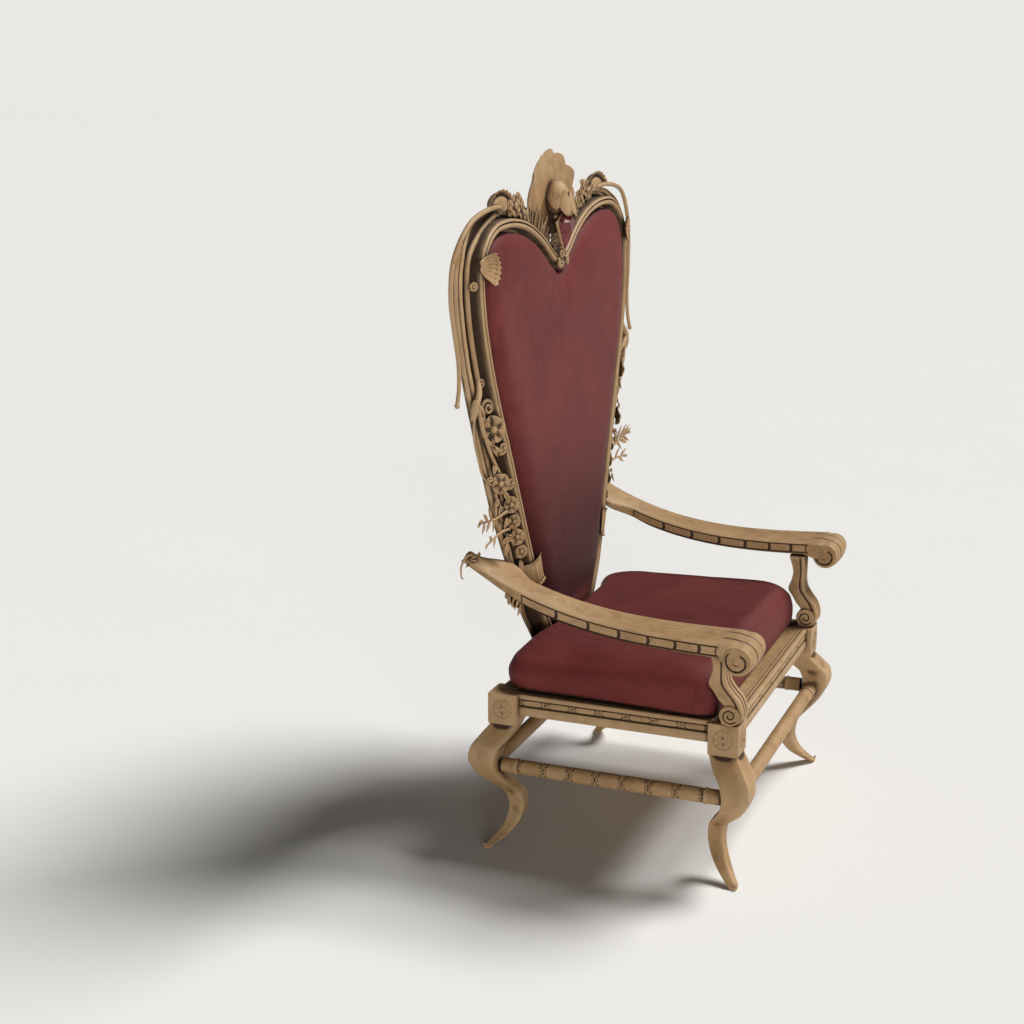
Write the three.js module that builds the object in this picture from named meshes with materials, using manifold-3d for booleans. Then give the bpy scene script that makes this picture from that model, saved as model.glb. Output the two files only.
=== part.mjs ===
// Carved throne with a heart-shaped leather back.
// Millimetres, +Z up, the seat faces -Y and the sitter's left is +X.
import * as THREE from 'three';
import { mergeVertices } from 'three/addons/utils/BufferGeometryUtils.js';
import Module from 'manifold-3d';

const wasm = await Module();
wasm.setup();

// Clearance between pieces that touch
const GAP = 0.3;

// Seat frame
const SEAT_WIDTH = 829;
const SEAT_DEPTH = 616;
const SEAT_TOP = 400;
const BLOCK_SIDE = 74;
const BLOCK_HEIGHT = 77;
const RAIL_HEIGHT = 54;
const RAIL_THICKNESS = 30;
const RAIL_RECESS = 14.5;
const BOARD_THICKNESS = 18;
const BOARD_DROP = 2;
const STRETCHER_RADIUS = 18;
const STRETCHER_HEIGHT = 219;
const STRETCHER_INSET = 7.5;

// Seat cushion
const CUSHION_HALF_WIDTH = 400;
const CUSHION_HEIGHT = 120;
const CUSHION_FRONT = 54;
const CUSHION_BACK = 21;
const CUSHION_CORNER = 62;

// Arms
const ARM_RISE = 230;
const ARM_THICKNESS = 44;
const ARM_OVERHANG_FRONT = 52;
const ARM_TAIL_BEHIND = 37;
const ARM_CREST_RISE = 121;
const ARM_OUTER_FRONT = 515;
const ARM_OUTER_REAR = 462;
const ARM_WIDTH_FRONT = 130;
const ARM_WIDTH_REAR = 82;
const ARM_CROWN = 6;
const ARM_JOIN_REACH = 48;
const VOLUTE_RADIUS = 36;
const PANEL_COUNT = 7;
const PANEL_DEPTH = 3.5;
const SUPPORT_WIDTH = 56;
const SUPPORT_LEAN = 17;

// Heart-shaped back
const HEART_HALF_WIDTH = 490;
const HEART_FOOT_LIFT = 38;
const HEART_RISE = 1053;
const BORDER_WIDTH = 100;
const BORDER_DEPTH = 36;
const BORDER_REAR_BEVEL = 0.26;
const BEAD_WIDTH = 22;
const BEAD_PROUD = 16;
const CHANNEL_DEPTH = 24;
const RAIL_PROUD = 13;
const BACK_SETBACK = 56;
const BACK_LEAN = 0.041;
const PAD_BULGE = 24;
const PAD_BASE = 18;
const PAD_ROLL = 8;
const PAD_SHOULDER = 36;
const PANEL_THICKNESS = 14;

// Carved vines
const STRAND_RADIUS = 8;
const TENDRIL_RADIUS = 7;
const CURL_RADIUS = 5.5;
const KNOB_RADIUS = 9;
const TENDRIL_CLEARANCE = 21;
const TWIG_REACH = 124;
const SHELL_LEAF_REACH = 62;
const BLADE_WIDTH = 14;
const FAN_LEAF_REACH = 97;
const FAN_LEAF_ROOT = 22;

// Crest
const CREST_RISE = 200;
const CREST_CENTRE_LIFT = 88;
const CREST_HALF_WIDTH = 145;
const CREST_DISH = 30;
const CREST_SCALLOPS = 11;
const LEAF_THICKNESS = 9;
const BUD_RADIUS = 41;
const STONE_HALF_WIDTH = 46;
const STONE_HEIGHT = 93;
const STONE_DEPTH = 22;
const SETTING_RIM = 8;

// Finishes
const oak = new THREE.MeshStandardMaterial({ color: 0xb08a5c, roughness: 0.55, metalness: 0 });
const leather = new THREE.MeshStandardMaterial({ color: 0x7a2f33, roughness: 0.5, metalness: 0 });
const stone = new THREE.MeshStandardMaterial({ color: 0x8a2730, roughness: 0.15, metalness: 0 });

const { clamp, lerp, smoothstep, degToRad } = THREE.MathUtils;
const vec = (x, y, z) => new THREE.Vector3(x, y, z);

// Closed solid from positions and faces, with its faces turned outwards
function closedGeometry(positions, faces) {
  const raw = new THREE.BufferGeometry();
  raw.setAttribute('position', new THREE.Float32BufferAttribute(positions, 3));
  raw.setIndex(faces);
  const geometry = mergeVertices(raw, 1e-3);
  const at = geometry.attributes.position;
  const index = Array.from(geometry.index.array);
  let volume = 0;
  const kept = [];
  for (let i = 0; i < index.length; i += 3) {
    const [a, b, c] = index.slice(i, i + 3);
    if (a === b || b === c || c === a) continue;
    kept.push(a, b, c);
    const [p, q, r] = [a, b, c].map((k) => vec(at.getX(k), at.getY(k), at.getZ(k)));
    volume += p.dot(q.cross(r));
  }
  if (volume < 0) kept.reverse();
  geometry.setIndex(kept);
  return geometry;
}

// Skin over a row of rings with equally many points, or one point for a tip
function loft(rings, endless = false) {
  const sides = rings[0].length;
  const points = rings.map((ring) => (ring.length === sides ? ring : Array(sides).fill(ring[0])));
  const positions = points.flat().flatMap((p) => [p.x, p.y, p.z]);
  const faces = [];
  const spans = endless ? rings.length : rings.length - 1;
  for (let i = 0; i < spans; i += 1) {
    const here = i * sides;
    const next = ((i + 1) % rings.length) * sides;
    for (let k = 0; k < sides; k += 1) {
      const turn = (k + 1) % sides;
      faces.push(here + k, here + turn, next + turn, here + k, next + turn, next + k);
    }
  }
  if (!endless) {
    const last = (rings.length - 1) * sides;
    for (let k = 1; k < sides - 1; k += 1) {
      faces.push(0, k + 1, k, last, last + k, last + k + 1);
    }
  }
  return closedGeometry(positions, faces);
}

// Stack of outlines joined level by level and closed at both ends. The function
// flat gives each point's place on the plane of the outlines.
function stack(levels, flat) {
  const turned = THREE.ShapeUtils.isClockWise(levels[0].map(flat));
  const rings = turned ? levels.map((ring) => [...ring].reverse()) : levels;
  const count = rings[0].length;
  const positions = rings.flat().flatMap((p) => [p.x, p.y, p.z]);
  const faces = [];
  for (let i = 0; i < rings.length - 1; i += 1) {
    for (let k = 0; k < count; k += 1) {
      const turn = (k + 1) % count;
      faces.push(i * count + k, i * count + turn, (i + 1) * count + turn);
      faces.push(i * count + k, (i + 1) * count + turn, (i + 1) * count + k);
    }
  }
  const last = (rings.length - 1) * count;
  for (const [a, b, c] of THREE.ShapeUtils.triangulateShape(rings[0].map(flat), [])) faces.push(a, c, b);
  for (const [a, b, c] of THREE.ShapeUtils.triangulateShape(rings.at(-1).map(flat), [])) {
    faces.push(last + a, last + b, last + c);
  }
  return closedGeometry(positions, faces);
}
const inFront = (p) => new THREE.Vector2(p.x, p.z);
const inPlan = (p) => new THREE.Vector2(p.x, p.y);

// Extruded outline whose corners are then placed by a function of (a, b, step)
function bentPrism(outline, steps, place) {
  const shape = new THREE.Shape(outline.map(([a, b]) => new THREE.Vector2(a, b)));
  const flat = new THREE.ExtrudeGeometry(shape, { depth: 1, steps, bevelEnabled: false });
  const at = flat.attributes.position;
  const positions = [];
  for (let i = 0; i < at.count; i += 1) {
    const p = place(at.getX(i), at.getY(i), at.getZ(i));
    positions.push(p.x, p.y, p.z);
  }
  return closedGeometry(positions, [...Array(at.count).keys()]);
}

// Sheet of rows and columns with a thickness along +Y
function leafSheet(rows, columns, thickness, surface) {
  const front = [];
  const back = [];
  for (let i = 0; i <= rows; i += 1) {
    for (let k = 0; k <= columns; k += 1) {
      const p = surface(i / rows, k / columns);
      front.push(p);
      back.push(vec(p.x, p.y + thickness, p.z));
    }
  }
  const at = (i, k) => i * (columns + 1) + k;
  const behind = front.length;
  const faces = [];
  for (let i = 0; i < rows; i += 1) {
    for (let k = 0; k < columns; k += 1) {
      const [a, b, c, d] = [at(i, k), at(i, k + 1), at(i + 1, k + 1), at(i + 1, k)];
      faces.push(a, b, c, a, c, d);
      faces.push(behind + a, behind + c, behind + b, behind + a, behind + d, behind + c);
    }
  }
  const rim = [];
  for (let k = 0; k < columns; k += 1) rim.push(at(0, k));
  for (let i = 0; i < rows; i += 1) rim.push(at(i, columns));
  for (let k = columns; k > 0; k -= 1) rim.push(at(rows, k));
  for (let i = rows; i > 0; i -= 1) rim.push(at(i, 0));
  rim.forEach((a, i) => {
    const b = rim[(i + 1) % rim.length];
    faces.push(a, behind + a, behind + b, a, behind + b, b);
  });
  return closedGeometry([...front, ...back].flatMap((p) => [p.x, p.y, p.z]), faces);
}

// Round bar along a path that never runs straight to the front
function sweep(path, radiusAt, sides = 6) {
  const rings = path.map((p, i) => {
    const before = path[Math.max(i - 1, 0)];
    const after = path[Math.min(i + 1, path.length - 1)];
    const along = after.clone().sub(before).normalize();
    const across = vec(0, 1, 0).cross(along).normalize();
    const up = along.clone().cross(across);
    const radius = radiusAt(i / (path.length - 1));
    return Array.from({ length: sides }, (_, k) => {
      const angle = (2 * Math.PI * k) / sides;
      return p.clone()
        .addScaledVector(across, radius * Math.cos(angle))
        .addScaledVector(up, radius * Math.sin(angle));
    });
  });
  return loft(rings);
}

const smoothPath = (points, count) => new THREE.CatmullRomCurve3(points).getSpacedPoints(count);

function toManifold(geometry) {
  return new wasm.Manifold(new wasm.Mesh({
    numProp: 3,
    vertProperties: new Float32Array(geometry.attributes.position.array),
    triVerts: new Uint32Array(geometry.index.array),
  }));
}

// Joined and cut solids lose the slivers that lie within this distance of their form
const SLIVER = 0.12;

function fromManifold(solid) {
  const mesh = solid.simplify(SLIVER).getMesh();
  return closedGeometry(Array.from(mesh.vertProperties), Array.from(mesh.triVerts));
}

function joined(geometries) {
  return fromManifold(geometries.map(toManifold).reduce((all, one) => all.add(one)));
}

function cutBy(geometry, cutters) {
  return fromManifold(cutters.map(toManifold).reduce((rest, one) => rest.subtract(one), toManifold(geometry)));
}

// The biggest of the bodies that a cut has left
function mainBody(geometry) {
  const bodies = toManifold(geometry).decompose();
  return fromManifold(bodies.reduce((best, one) => (one.volume() > best.volume() ? one : best)));
}

// Mirror image of a left-hand piece
function mirrored(geometry) {
  const at = geometry.attributes.position;
  const positions = [];
  for (let i = 0; i < at.count; i += 1) positions.push(-at.getX(i), at.getY(i), at.getZ(i));
  return closedGeometry(positions, Array.from(geometry.index.array));
}

const throne = new THREE.Group();

function addPiece(name, geometry, material) {
  geometry.computeVertexNormals();
  const mesh = new THREE.Mesh(geometry, material);
  mesh.name = name;
  throne.add(mesh);
}

function addPair(name, leftGeometry, material) {
  addPiece(`${name}_left`, leftGeometry, material);
  addPiece(`${name}_right`, mirrored(leftGeometry), material);
}

// Legs: a square block over a cabriole that swells and turns out across the corner.
// Each station gives the share of the leg's height, then the outward shift and the
// width as shares of the block.
const LEG_STATIONS = [
  [1, 0, 1], [0.978, 0.03, 0.93], [0.898, 0.26, 1], [0.82, 0.49, 0.97], [0.743, 0.55, 0.93],
  [0.666, 0.49, 0.84], [0.582, 0.31, 0.74], [0.5, 0.03, 0.64], [0.433, -0.19, 0.57],
  [0.365, -0.27, 0.54], [0.294, -0.28, 0.51], [0.22, -0.2, 0.49], [0.152, -0.05, 0.46],
  [0.1, 0.12, 0.41], [0.056, 0.3, 0.35], [0.02, 0.46, 0.3], [0, 0.5, 0.22],
];

const blockCentreX = SEAT_WIDTH / 2 - BLOCK_SIDE / 2;
const blockCentreY = SEAT_DEPTH / 2 - BLOCK_SIDE / 2;
const legHeight = SEAT_TOP - BLOCK_HEIGHT;

function legGeometry(sideX, sideY, grow = 0) {
  const square = (shift, width, z) => {
    const half = width / 2 + grow;
    const x = sideX * (blockCentreX + shift);
    const y = sideY * (blockCentreY + shift);
    return [vec(x - half, y - half, z), vec(x + half, y - half, z),
      vec(x + half, y + half, z), vec(x - half, y + half, z)];
  };
  const rings = [square(0, BLOCK_SIDE, SEAT_TOP + grow), square(0, BLOCK_SIDE, legHeight)];
  for (const [share, shift, width] of LEG_STATIONS.slice(1)) {
    rings.push(square(shift * BLOCK_SIDE, width * BLOCK_SIDE, share * legHeight));
  }
  return loft(rings);
}

const CORNERS = [
  ['front_left', 1, -1], ['front_right', -1, -1], ['back_left', 1, 1], ['back_right', -1, 1],
];
for (const [name, sideX, sideY] of CORNERS) addPiece(`leg_${name}`, legGeometry(sideX, sideY), oak);

// Seat rails: three bands with dark grooves between them, drawn as depth below the
// top edge and distance from the inner face.
const railOuterX = SEAT_WIDTH / 2 - RAIL_RECESS;
const railOuterY = SEAT_DEPTH / 2 - RAIL_RECESS;
const RAIL_BAND_TOP = 12;
const RAIL_BAND_MIDDLE = 28;
const RAIL_GROOVE = 5;
const railOutline = [
  [0, -RAIL_HEIGHT], [RAIL_THICKNESS - 3, -RAIL_HEIGHT], [RAIL_THICKNESS, -RAIL_HEIGHT + 4],
  [RAIL_THICKNESS, -RAIL_BAND_MIDDLE - 3], [RAIL_THICKNESS - RAIL_GROOVE, -RAIL_BAND_MIDDLE - 2],
  [RAIL_THICKNESS - RAIL_GROOVE, -RAIL_BAND_MIDDLE], [RAIL_THICKNESS - 2, -RAIL_BAND_MIDDLE + 1],
  [RAIL_THICKNESS - 2, -RAIL_BAND_TOP - 3], [RAIL_THICKNESS - RAIL_GROOVE, -RAIL_BAND_TOP - 2],
  [RAIL_THICKNESS - RAIL_GROOVE, -RAIL_BAND_TOP], [RAIL_THICKNESS, -RAIL_BAND_TOP + 1],
  [RAIL_THICKNESS, -2], [RAIL_THICKNESS - 2, 0], [0, 0],
];

const railHalfY = SEAT_DEPTH / 2 - BLOCK_SIDE - GAP;
const railHalfX = SEAT_WIDTH / 2 - BLOCK_SIDE - GAP;
addPair('seat_rail', bentPrism(railOutline, 1, (out, up, step) => (
  vec(railOuterX - RAIL_THICKNESS + out, lerp(-railHalfY, railHalfY, step), SEAT_TOP + up))), oak);
for (const [name, side] of [['front', -1], ['back', 1]]) {
  addPiece(`seat_rail_${name}`, bentPrism(railOutline, 1, (out, up, step) => (
    vec(lerp(-railHalfX, railHalfX, step), side * (railOuterY - RAIL_THICKNESS + out), SEAT_TOP + up))), oak);
}

// Seat board between the rails, notched round the four blocks
const boardX = railOuterX - RAIL_THICKNESS - GAP;
const boardY = railOuterY - RAIL_THICKNESS - GAP;
const notchX = railHalfX - GAP;
const notchY = railHalfY - GAP;
const boardOutline = [
  [-notchX, -boardY], [notchX, -boardY], [notchX, -notchY], [boardX, -notchY],
  [boardX, notchY], [notchX, notchY], [notchX, boardY], [-notchX, boardY],
  [-notchX, notchY], [-boardX, notchY], [-boardX, -notchY], [-notchX, -notchY],
];
addPiece('seat_board', bentPrism(boardOutline, 1, (x, y, step) => (
  vec(x, y, SEAT_TOP - BOARD_DROP - BOARD_THICKNESS * step))), oak);

// Stretchers: round bars from leg to leg, their ends shaped by the legs
const stretcherX = SEAT_WIDTH / 2 - STRETCHER_INSET;
const stretcherY = SEAT_DEPTH / 2 - STRETCHER_INSET;
const legSolids = CORNERS.map(([, sideX, sideY]) => legGeometry(sideX, sideY, GAP));
const COLLAR = 30;
const COLLAR_PROUD = 2;
const BAR_SIDES = 8;

function barRings(half, place) {
  const radii = [
    [-half, 0], [-half + COLLAR + 34, 0], [-half + COLLAR + 36, COLLAR_PROUD], [-half + COLLAR + 46, 0],
    [half - COLLAR - 46, 0], [half - COLLAR - 36, COLLAR_PROUD], [half - COLLAR - 34, 0], [half, 0],
  ];
  return loft(radii.map(([along, proud]) => Array.from({ length: BAR_SIDES }, (_, k) => {
    const angle = (2 * Math.PI * k) / BAR_SIDES;
    const radius = STRETCHER_RADIUS + proud;
    return place(along, radius * Math.cos(angle), STRETCHER_HEIGHT + radius * Math.sin(angle));
  })));
}

for (const [name, side] of [['left', 1], ['right', -1]]) {
  const bar = barRings(blockCentreY, (along, out, z) => vec(side * stretcherX + out, along, z));
  addPiece(`stretcher_${name}`, cutBy(bar, legSolids), oak);
}
for (const [name, side] of [['front', -1], ['back', 1]]) {
  const bar = barRings(blockCentreX, (along, out, z) => vec(along, side * stretcherY + out, z));
  addPiece(`stretcher_${name}`, cutBy(bar, legSolids), oak);
}

// Heart of the back. Each station gives shares of the half width and of the rise
// at the leather's edge, then the border's width there as a share of BORDER_WIDTH.
const HEART_STATIONS = [
  [0, 0.877, 0.36], [0.143, 0.915, 0.34], [0.253, 0.948, 0.35], [0.408, 0.98, 0.36],
  [0.561, 0.996, 0.38], [0.694, 1, 0.4], [0.816, 0.995, 0.47], [0.908, 0.976, 0.64],
  [0.976, 0.942, 0.86], [1, 0.899, 1], [0.99, 0.819, 1], [0.939, 0.724, 1],
  [0.865, 0.629, 1.02], [0.776, 0.534, 1.04], [0.69, 0.439, 1.04], [0.606, 0.344, 0.94],
  [0.52, 0.249, 0.78], [0.418, 0.135, 0.6], [0.306, 0.059, 0.5], [0.245, 0.021, 0.46],
  [0.163, 0.004, 0.44], [0, 0, 0.44],
];
const HEART_SAMPLES = 25;
const heartFoot = SEAT_TOP + HEART_FOOT_LIFT;
const backPlaneAt = (z) => SEAT_DEPTH / 2 - BACK_SETBACK + BACK_LEAN * (z - SEAT_TOP);

const heartCurve = new THREE.CatmullRomCurve3(HEART_STATIONS.map(([x, z, w]) => (
  vec(x * HEART_HALF_WIDTH, w * BORDER_WIDTH, heartFoot + z * HEART_RISE))), false, 'centripetal');

const heartStations = Array.from({ length: HEART_SAMPLES + 1 }, (_, i) => {
  const share = i / HEART_SAMPLES;
  const p = heartCurve.getPoint(share);
  const along = heartCurve.getTangent(share);
  const normal = new THREE.Vector2(-along.z, along.x).normalize();
  let width = p.y;
  if (i === 0) {
    width /= normal.y;
    normal.set(0, 1);
  }
  if (i === HEART_SAMPLES) normal.set(0, -1);
  return { x: i === HEART_SAMPLES ? 0 : p.x, z: p.z, normal, width };
});

// Point of the left border: station number, distance out from the leather, depth
// behind the back's plane
function onBorder(station, out, depth) {
  const low = clamp(Math.floor(station), 0, HEART_SAMPLES - 1);
  const mix = station - low;
  const a = heartStations[low];
  const b = heartStations[low + 1];
  const normal = a.normal.clone().lerp(b.normal, mix).normalize();
  const x = lerp(a.x, b.x, mix) + normal.x * out;
  const z = lerp(a.z, b.z, mix) + normal.y * out;
  return vec(x, backPlaneAt(z) + depth, z);
}

const widthAt = (station) => {
  const low = clamp(Math.floor(station), 0, HEART_SAMPLES - 1);
  return lerp(heartStations[low].width, heartStations[low + 1].width, station - low);
};

function stationWhere(from, to, value) {
  for (let i = from; i < to; i += 1) {
    const a = value(heartStations[i]);
    const b = value(heartStations[i + 1]);
    if (a * b <= 0) return i + a / (a - b);
  }
  return to;
}

const topStation = heartStations.reduce((best, s, i) => (s.z > heartStations[best].z ? i : best), 0);

// Station on the side at a share of the heart's rise, and on the lobe at a share
// of its half width
const side = (share) => stationWhere(topStation, HEART_SAMPLES, (s) => s.z - heartFoot - share * HEART_RISE);
const lobe = (share) => stationWhere(0, topStation, (s) => share * HEART_HALF_WIDTH - s.x);

// Border section: double bead at the leather, dark channel, outer rail of two
// strands that fades out where the border is narrow
function borderSection(width, grow) {
  const rail = RAIL_PROUD * clamp((width - 50) / 40, 0, 1);
  const free = width - BEAD_WIDTH;
  const floor = CHANNEL_DEPTH - grow;
  const outer = width + grow;
  return [
    [-grow, BORDER_DEPTH + grow], [-grow, -6], [6, -BEAD_PROUD - grow],
    [12, -BEAD_PROUD + 4 - grow], [18, -BEAD_PROUD + 1 - grow], [BEAD_WIDTH + grow, -BEAD_PROUD + 8 - grow],
    [BEAD_WIDTH + grow, floor], [BEAD_WIDTH + 0.5 * free, floor],
    [BEAD_WIDTH + 0.62 * free, floor - rail], [BEAD_WIDTH + 0.75 * free, floor - 0.45 * rail],
    [BEAD_WIDTH + 0.87 * free, floor - rail], [outer, CHANNEL_DEPTH - 2],
    [outer - BORDER_REAR_BEVEL * width, BORDER_DEPTH + grow],
  ];
}

function heartLoop(pointsAt) {
  const left = heartStations.map((s, i) => pointsAt(i, s.width));
  const right = left.slice(1, -1).reverse().map((ring) => ring.map((p) => vec(-p.x, p.y, p.z)));
  return [...left, ...right];
}

function boxGeometry(low, high) {
  const size = high.clone().sub(low);
  const box = new THREE.BoxGeometry(size.x, size.y, size.z);
  box.translate((low.x + high.x) / 2, (low.y + high.y) / 2, (low.z + high.z) / 2);
  return closedGeometry(Array.from(box.attributes.position.array), Array.from(box.index.array));
}

function borderGeometry(grow = 0) {
  const ring = loft(heartLoop((station, width) => (
    borderSection(width, grow).map(([out, depth]) => onBorder(station, out, depth)))), true);
  const underneath = boxGeometry(
    vec(-SEAT_WIDTH, -SEAT_DEPTH, 0),
    vec(SEAT_WIDTH, SEAT_DEPTH, SEAT_TOP + GAP - grow),
  );
  return cutBy(ring, [underneath]);
}

const borderSolid = borderGeometry(GAP + SLIVER);
addPiece('back_frame', borderGeometry(), oak);

// Leather heart: its edge is tucked in at the bead and its face is crowned
function padRing(inset, depth) {
  return heartLoop((station) => [onBorder(station, -GAP - inset, depth)]).map(([p]) => p);
}
const padRings = [
  padRing(0, PAD_BASE), padRing(0, -3), padRing(PAD_ROLL, -0.62 * PAD_BULGE), padRing(PAD_SHOULDER, -PAD_BULGE),
];

addPiece('back_pad', stack(padRings, inFront), leather);
addPiece('back_panel', stack([
  padRing(0, PAD_BASE + GAP + PANEL_THICKNESS), padRing(0, PAD_BASE + GAP)], inFront), oak);

// Seat cushion. Each level gives shares of the height, then how far the side has
// drawn in from its widest.
const CUSHION_LEVELS = [
  [0, 18], [0.08, 5], [0.38, 0], [0.62, 14], [0.9, 60], [0.98, 84], [1, 128],
];
const CUSHION_POINTS = 24;
const cushionFrontY = -SEAT_DEPTH / 2 + CUSHION_FRONT;
const cushionBackY = SEAT_DEPTH / 2 - CUSHION_BACK;
const cushionPocket = backPlaneAt(SEAT_TOP) - PAD_BULGE - 3;
const pocketHalfWidth = 0.46 * HEART_HALF_WIDTH;

function cushionGeometry() {
  const middleY = (cushionFrontY + cushionBackY) / 2;
  const rings = CUSHION_LEVELS.map(([share, inset]) => {
    const halfX = CUSHION_HALF_WIDTH - inset;
    const halfY = (cushionBackY - cushionFrontY) / 2 - 0.72 * inset;
    const corner = Math.min(CUSHION_CORNER + 0.35 * inset, halfY);
    const z = SEAT_TOP + GAP + share * CUSHION_HEIGHT;
    return Array.from({ length: CUSHION_POINTS }, (_, k) => {
      const quarter = Math.floor(k / (CUSHION_POINTS / 4));
      const within = (k % (CUSHION_POINTS / 4)) / (CUSHION_POINTS / 4 - 1);
      const angle = degToRad(90 * (quarter + clamp(within, 0, 1)));
      const cornerX = [1, -1, -1, 1][quarter] * (halfX - corner);
      const cornerY = [1, 1, -1, -1][quarter] * (halfY - corner);
      const x = cornerX + corner * Math.cos(angle);
      const y = middleY + cornerY + corner * Math.sin(angle);
      return vec(x, y, z);
    });
  });
  const dented = rings.map((ring) => {
    const out = [];
    ring.forEach((p, k) => {
      out.push(p);
      if (k !== CUSHION_POINTS / 4 - 1) return;
      const q = ring[k + 1];
      for (const share of [0.18, 0.26, 0.38, 0.5, 0.62, 0.74, 0.82]) {
        const x = lerp(p.x, q.x, share);
        const pocket = 1 - smoothstep(Math.abs(x), pocketHalfWidth, pocketHalfWidth + 60);
        out.push(vec(x, Math.min(p.y, lerp(p.y, cushionPocket, pocket)), p.z));
      }
    });
    return out;
  });
  return stack(dented, inPlan);
}

addPiece('seat_cushion', cushionGeometry(), leather);

// Arms. Shares run from 0 above the front blocks to 1 at the rear block's face.
const armFrontY = -SEAT_DEPTH / 2;
const armTailY = SEAT_DEPTH / 2 + ARM_TAIL_BEHIND;
const armUnder = SEAT_TOP + ARM_RISE - ARM_THICKNESS;
const armShare = (y) => (y - armFrontY) / (armTailY - armFrontY);
const armTopAt = (y) => {
  const t = clamp(armShare(y), 0, 1);
  return SEAT_TOP + ARM_RISE - 22 * t + (ARM_CREST_RISE + 22) * t ** 3;
};
const armUnderAt = (y) => {
  const t = clamp(armShare(y), 0, 1);
  const thickness = lerp(ARM_THICKNESS - 6, ARM_THICKNESS - 10, t);
  return Math.max(armUnder, armTopAt(y) - thickness);
};
const armOuterAt = (y) => {
  const t = clamp(armShare(y), -0.06, 1);
  return lerp(ARM_OUTER_FRONT, ARM_OUTER_REAR, t) - 45 * t * (1 - t);
};
const armInnerAt = (y) => {
  const t = clamp(armShare(y), -0.06, 1);
  const join = ARM_JOIN_REACH * smoothstep(t, 0.76, 0.9);
  return armOuterAt(y) - lerp(ARM_WIDTH_FRONT, ARM_WIDTH_REAR, t) - join;
};

const voluteY = armFrontY - ARM_OVERHANG_FRONT + VOLUTE_RADIUS;
const voluteZ = SEAT_TOP + ARM_RISE - VOLUTE_RADIUS - 4;
const ARM_STEPS = 9;
const VOLUTE_STEPS = 7;
const CROSS_SHARES = [0, 0.12, 0.88, 1];

function armOutline() {
  const top = [];
  const under = [];
  for (let i = 0; i <= ARM_STEPS; i += 1) {
    const y = lerp(armTailY, voluteY + 14, i / ARM_STEPS);
    top.push([y, armTopAt(y)]);
  }
  const curl = [];
  for (let i = 0; i <= VOLUTE_STEPS; i += 1) {
    const angle = degToRad(lerp(78, 318, i / VOLUTE_STEPS));
    curl.push([voluteY + VOLUTE_RADIUS * Math.cos(angle), voluteZ + VOLUTE_RADIUS * Math.sin(angle)]);
  }
  for (let i = 0; i < ARM_STEPS; i += 1) {
    const y = lerp(voluteY + VOLUTE_RADIUS + 4, armTailY - 4, i / (ARM_STEPS - 1));
    under.push([y, armUnderAt(y)]);
  }
  return [...top, ...curl, ...under];
}

const armPoint = (y, z, across) => {
  const inner = armInnerAt(y);
  const height = clamp((z - armUnderAt(y)) / (armTopAt(y) - armUnderAt(y)), 0, 1);
  const sideways = 2 * across - 1;
  return vec(lerp(inner, armOuterAt(y), across), y, z - ARM_CROWN * height * height * sideways ** 2);
};

// Sunk panel on one side face of the arm, longer towards the back
function panelCutter(fromY, toY, across, outward) {
  const rings = [0, 1].map((share) => {
    const y = lerp(fromY, toY, share);
    const face = armPoint(y, armUnderAt(y), across).x;
    const high = armTopAt(y) - ARM_CROWN - 7;
    const low = high - 16;
    const deep = face - outward * PANEL_DEPTH;
    const clear = face + outward * 6;
    return [vec(deep, y, low), vec(clear, y, low), vec(clear, y, high), vec(deep, y, high)];
  });
  return loft(rings);
}

// Spiral groove on the side face of the front scroll
function scrollCutter(across, outward) {
  const face = armPoint(voluteY, voluteZ, across).x;
  const steps = 8;
  const rings = Array.from({ length: steps + 1 }, (_, i) => {
    const share = i / steps;
    const angle = degToRad(100 + 430 * share);
    const middle = lerp(VOLUTE_RADIUS - 9, 7, share);
    const half = lerp(2.6, 1.6, share);
    const at = (radius, x) => vec(x, voluteY + radius * Math.cos(angle), voluteZ + radius * Math.sin(angle));
    const deep = face - outward * PANEL_DEPTH;
    const clear = face + outward * 8;
    return [at(middle - half, deep), at(middle - half, clear), at(middle + half, clear), at(middle + half, deep)];
  });
  return loft(rings);
}

function armGeometry() {
  const body = bentPrism(armOutline(), CROSS_SHARES.length - 1, (y, z, step) => (
    armPoint(y, z, CROSS_SHARES[Math.round(step * (CROSS_SHARES.length - 1))])));
  const cutters = [borderSolid];
  const firstY = voluteY + VOLUTE_RADIUS + 20;
  const lastY = lerp(armFrontY, armTailY, 0.74);
  for (const [across, outward] of [[0, -1], [1, 1]]) {
    for (let i = 0; i < PANEL_COUNT; i += 1) {
      const share = (n) => (n / PANEL_COUNT) ** 1.25;
      const fromY = lerp(firstY, lastY, share(i)) + 4;
      const toY = lerp(firstY, lastY, share(i + 1)) - 4;
      cutters.push(panelCutter(fromY, toY, across, outward));
    }
    cutters.push(scrollCutter(across, outward));
  }
  return cutBy(body, cutters);
}

addPair('arm', armGeometry(), oak);

// Arm supports: an S-scroll drawn by its front and rear edges, as shares of its
// height and distances behind the block's front face
const SUPPORT_FRONT = [[0, 12], [0.07, -4], [0.17, -7], [0.32, 1], [0.42, 16], [0.52, 29], [0.62, 34], [1, 36]];
const SUPPORT_REAR = [[1, 76], [0.78, 64], [0.66, 67], [0.52, 74], [0.42, 62], [0.32, 50], [0.24, 38], [0.16, 48], [0, 44]];
const supportHeight = armUnder - SEAT_TOP - 2 * GAP;
const supportFootX = SEAT_WIDTH / 2 - SUPPORT_WIDTH / 2 - 1.5;

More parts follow.
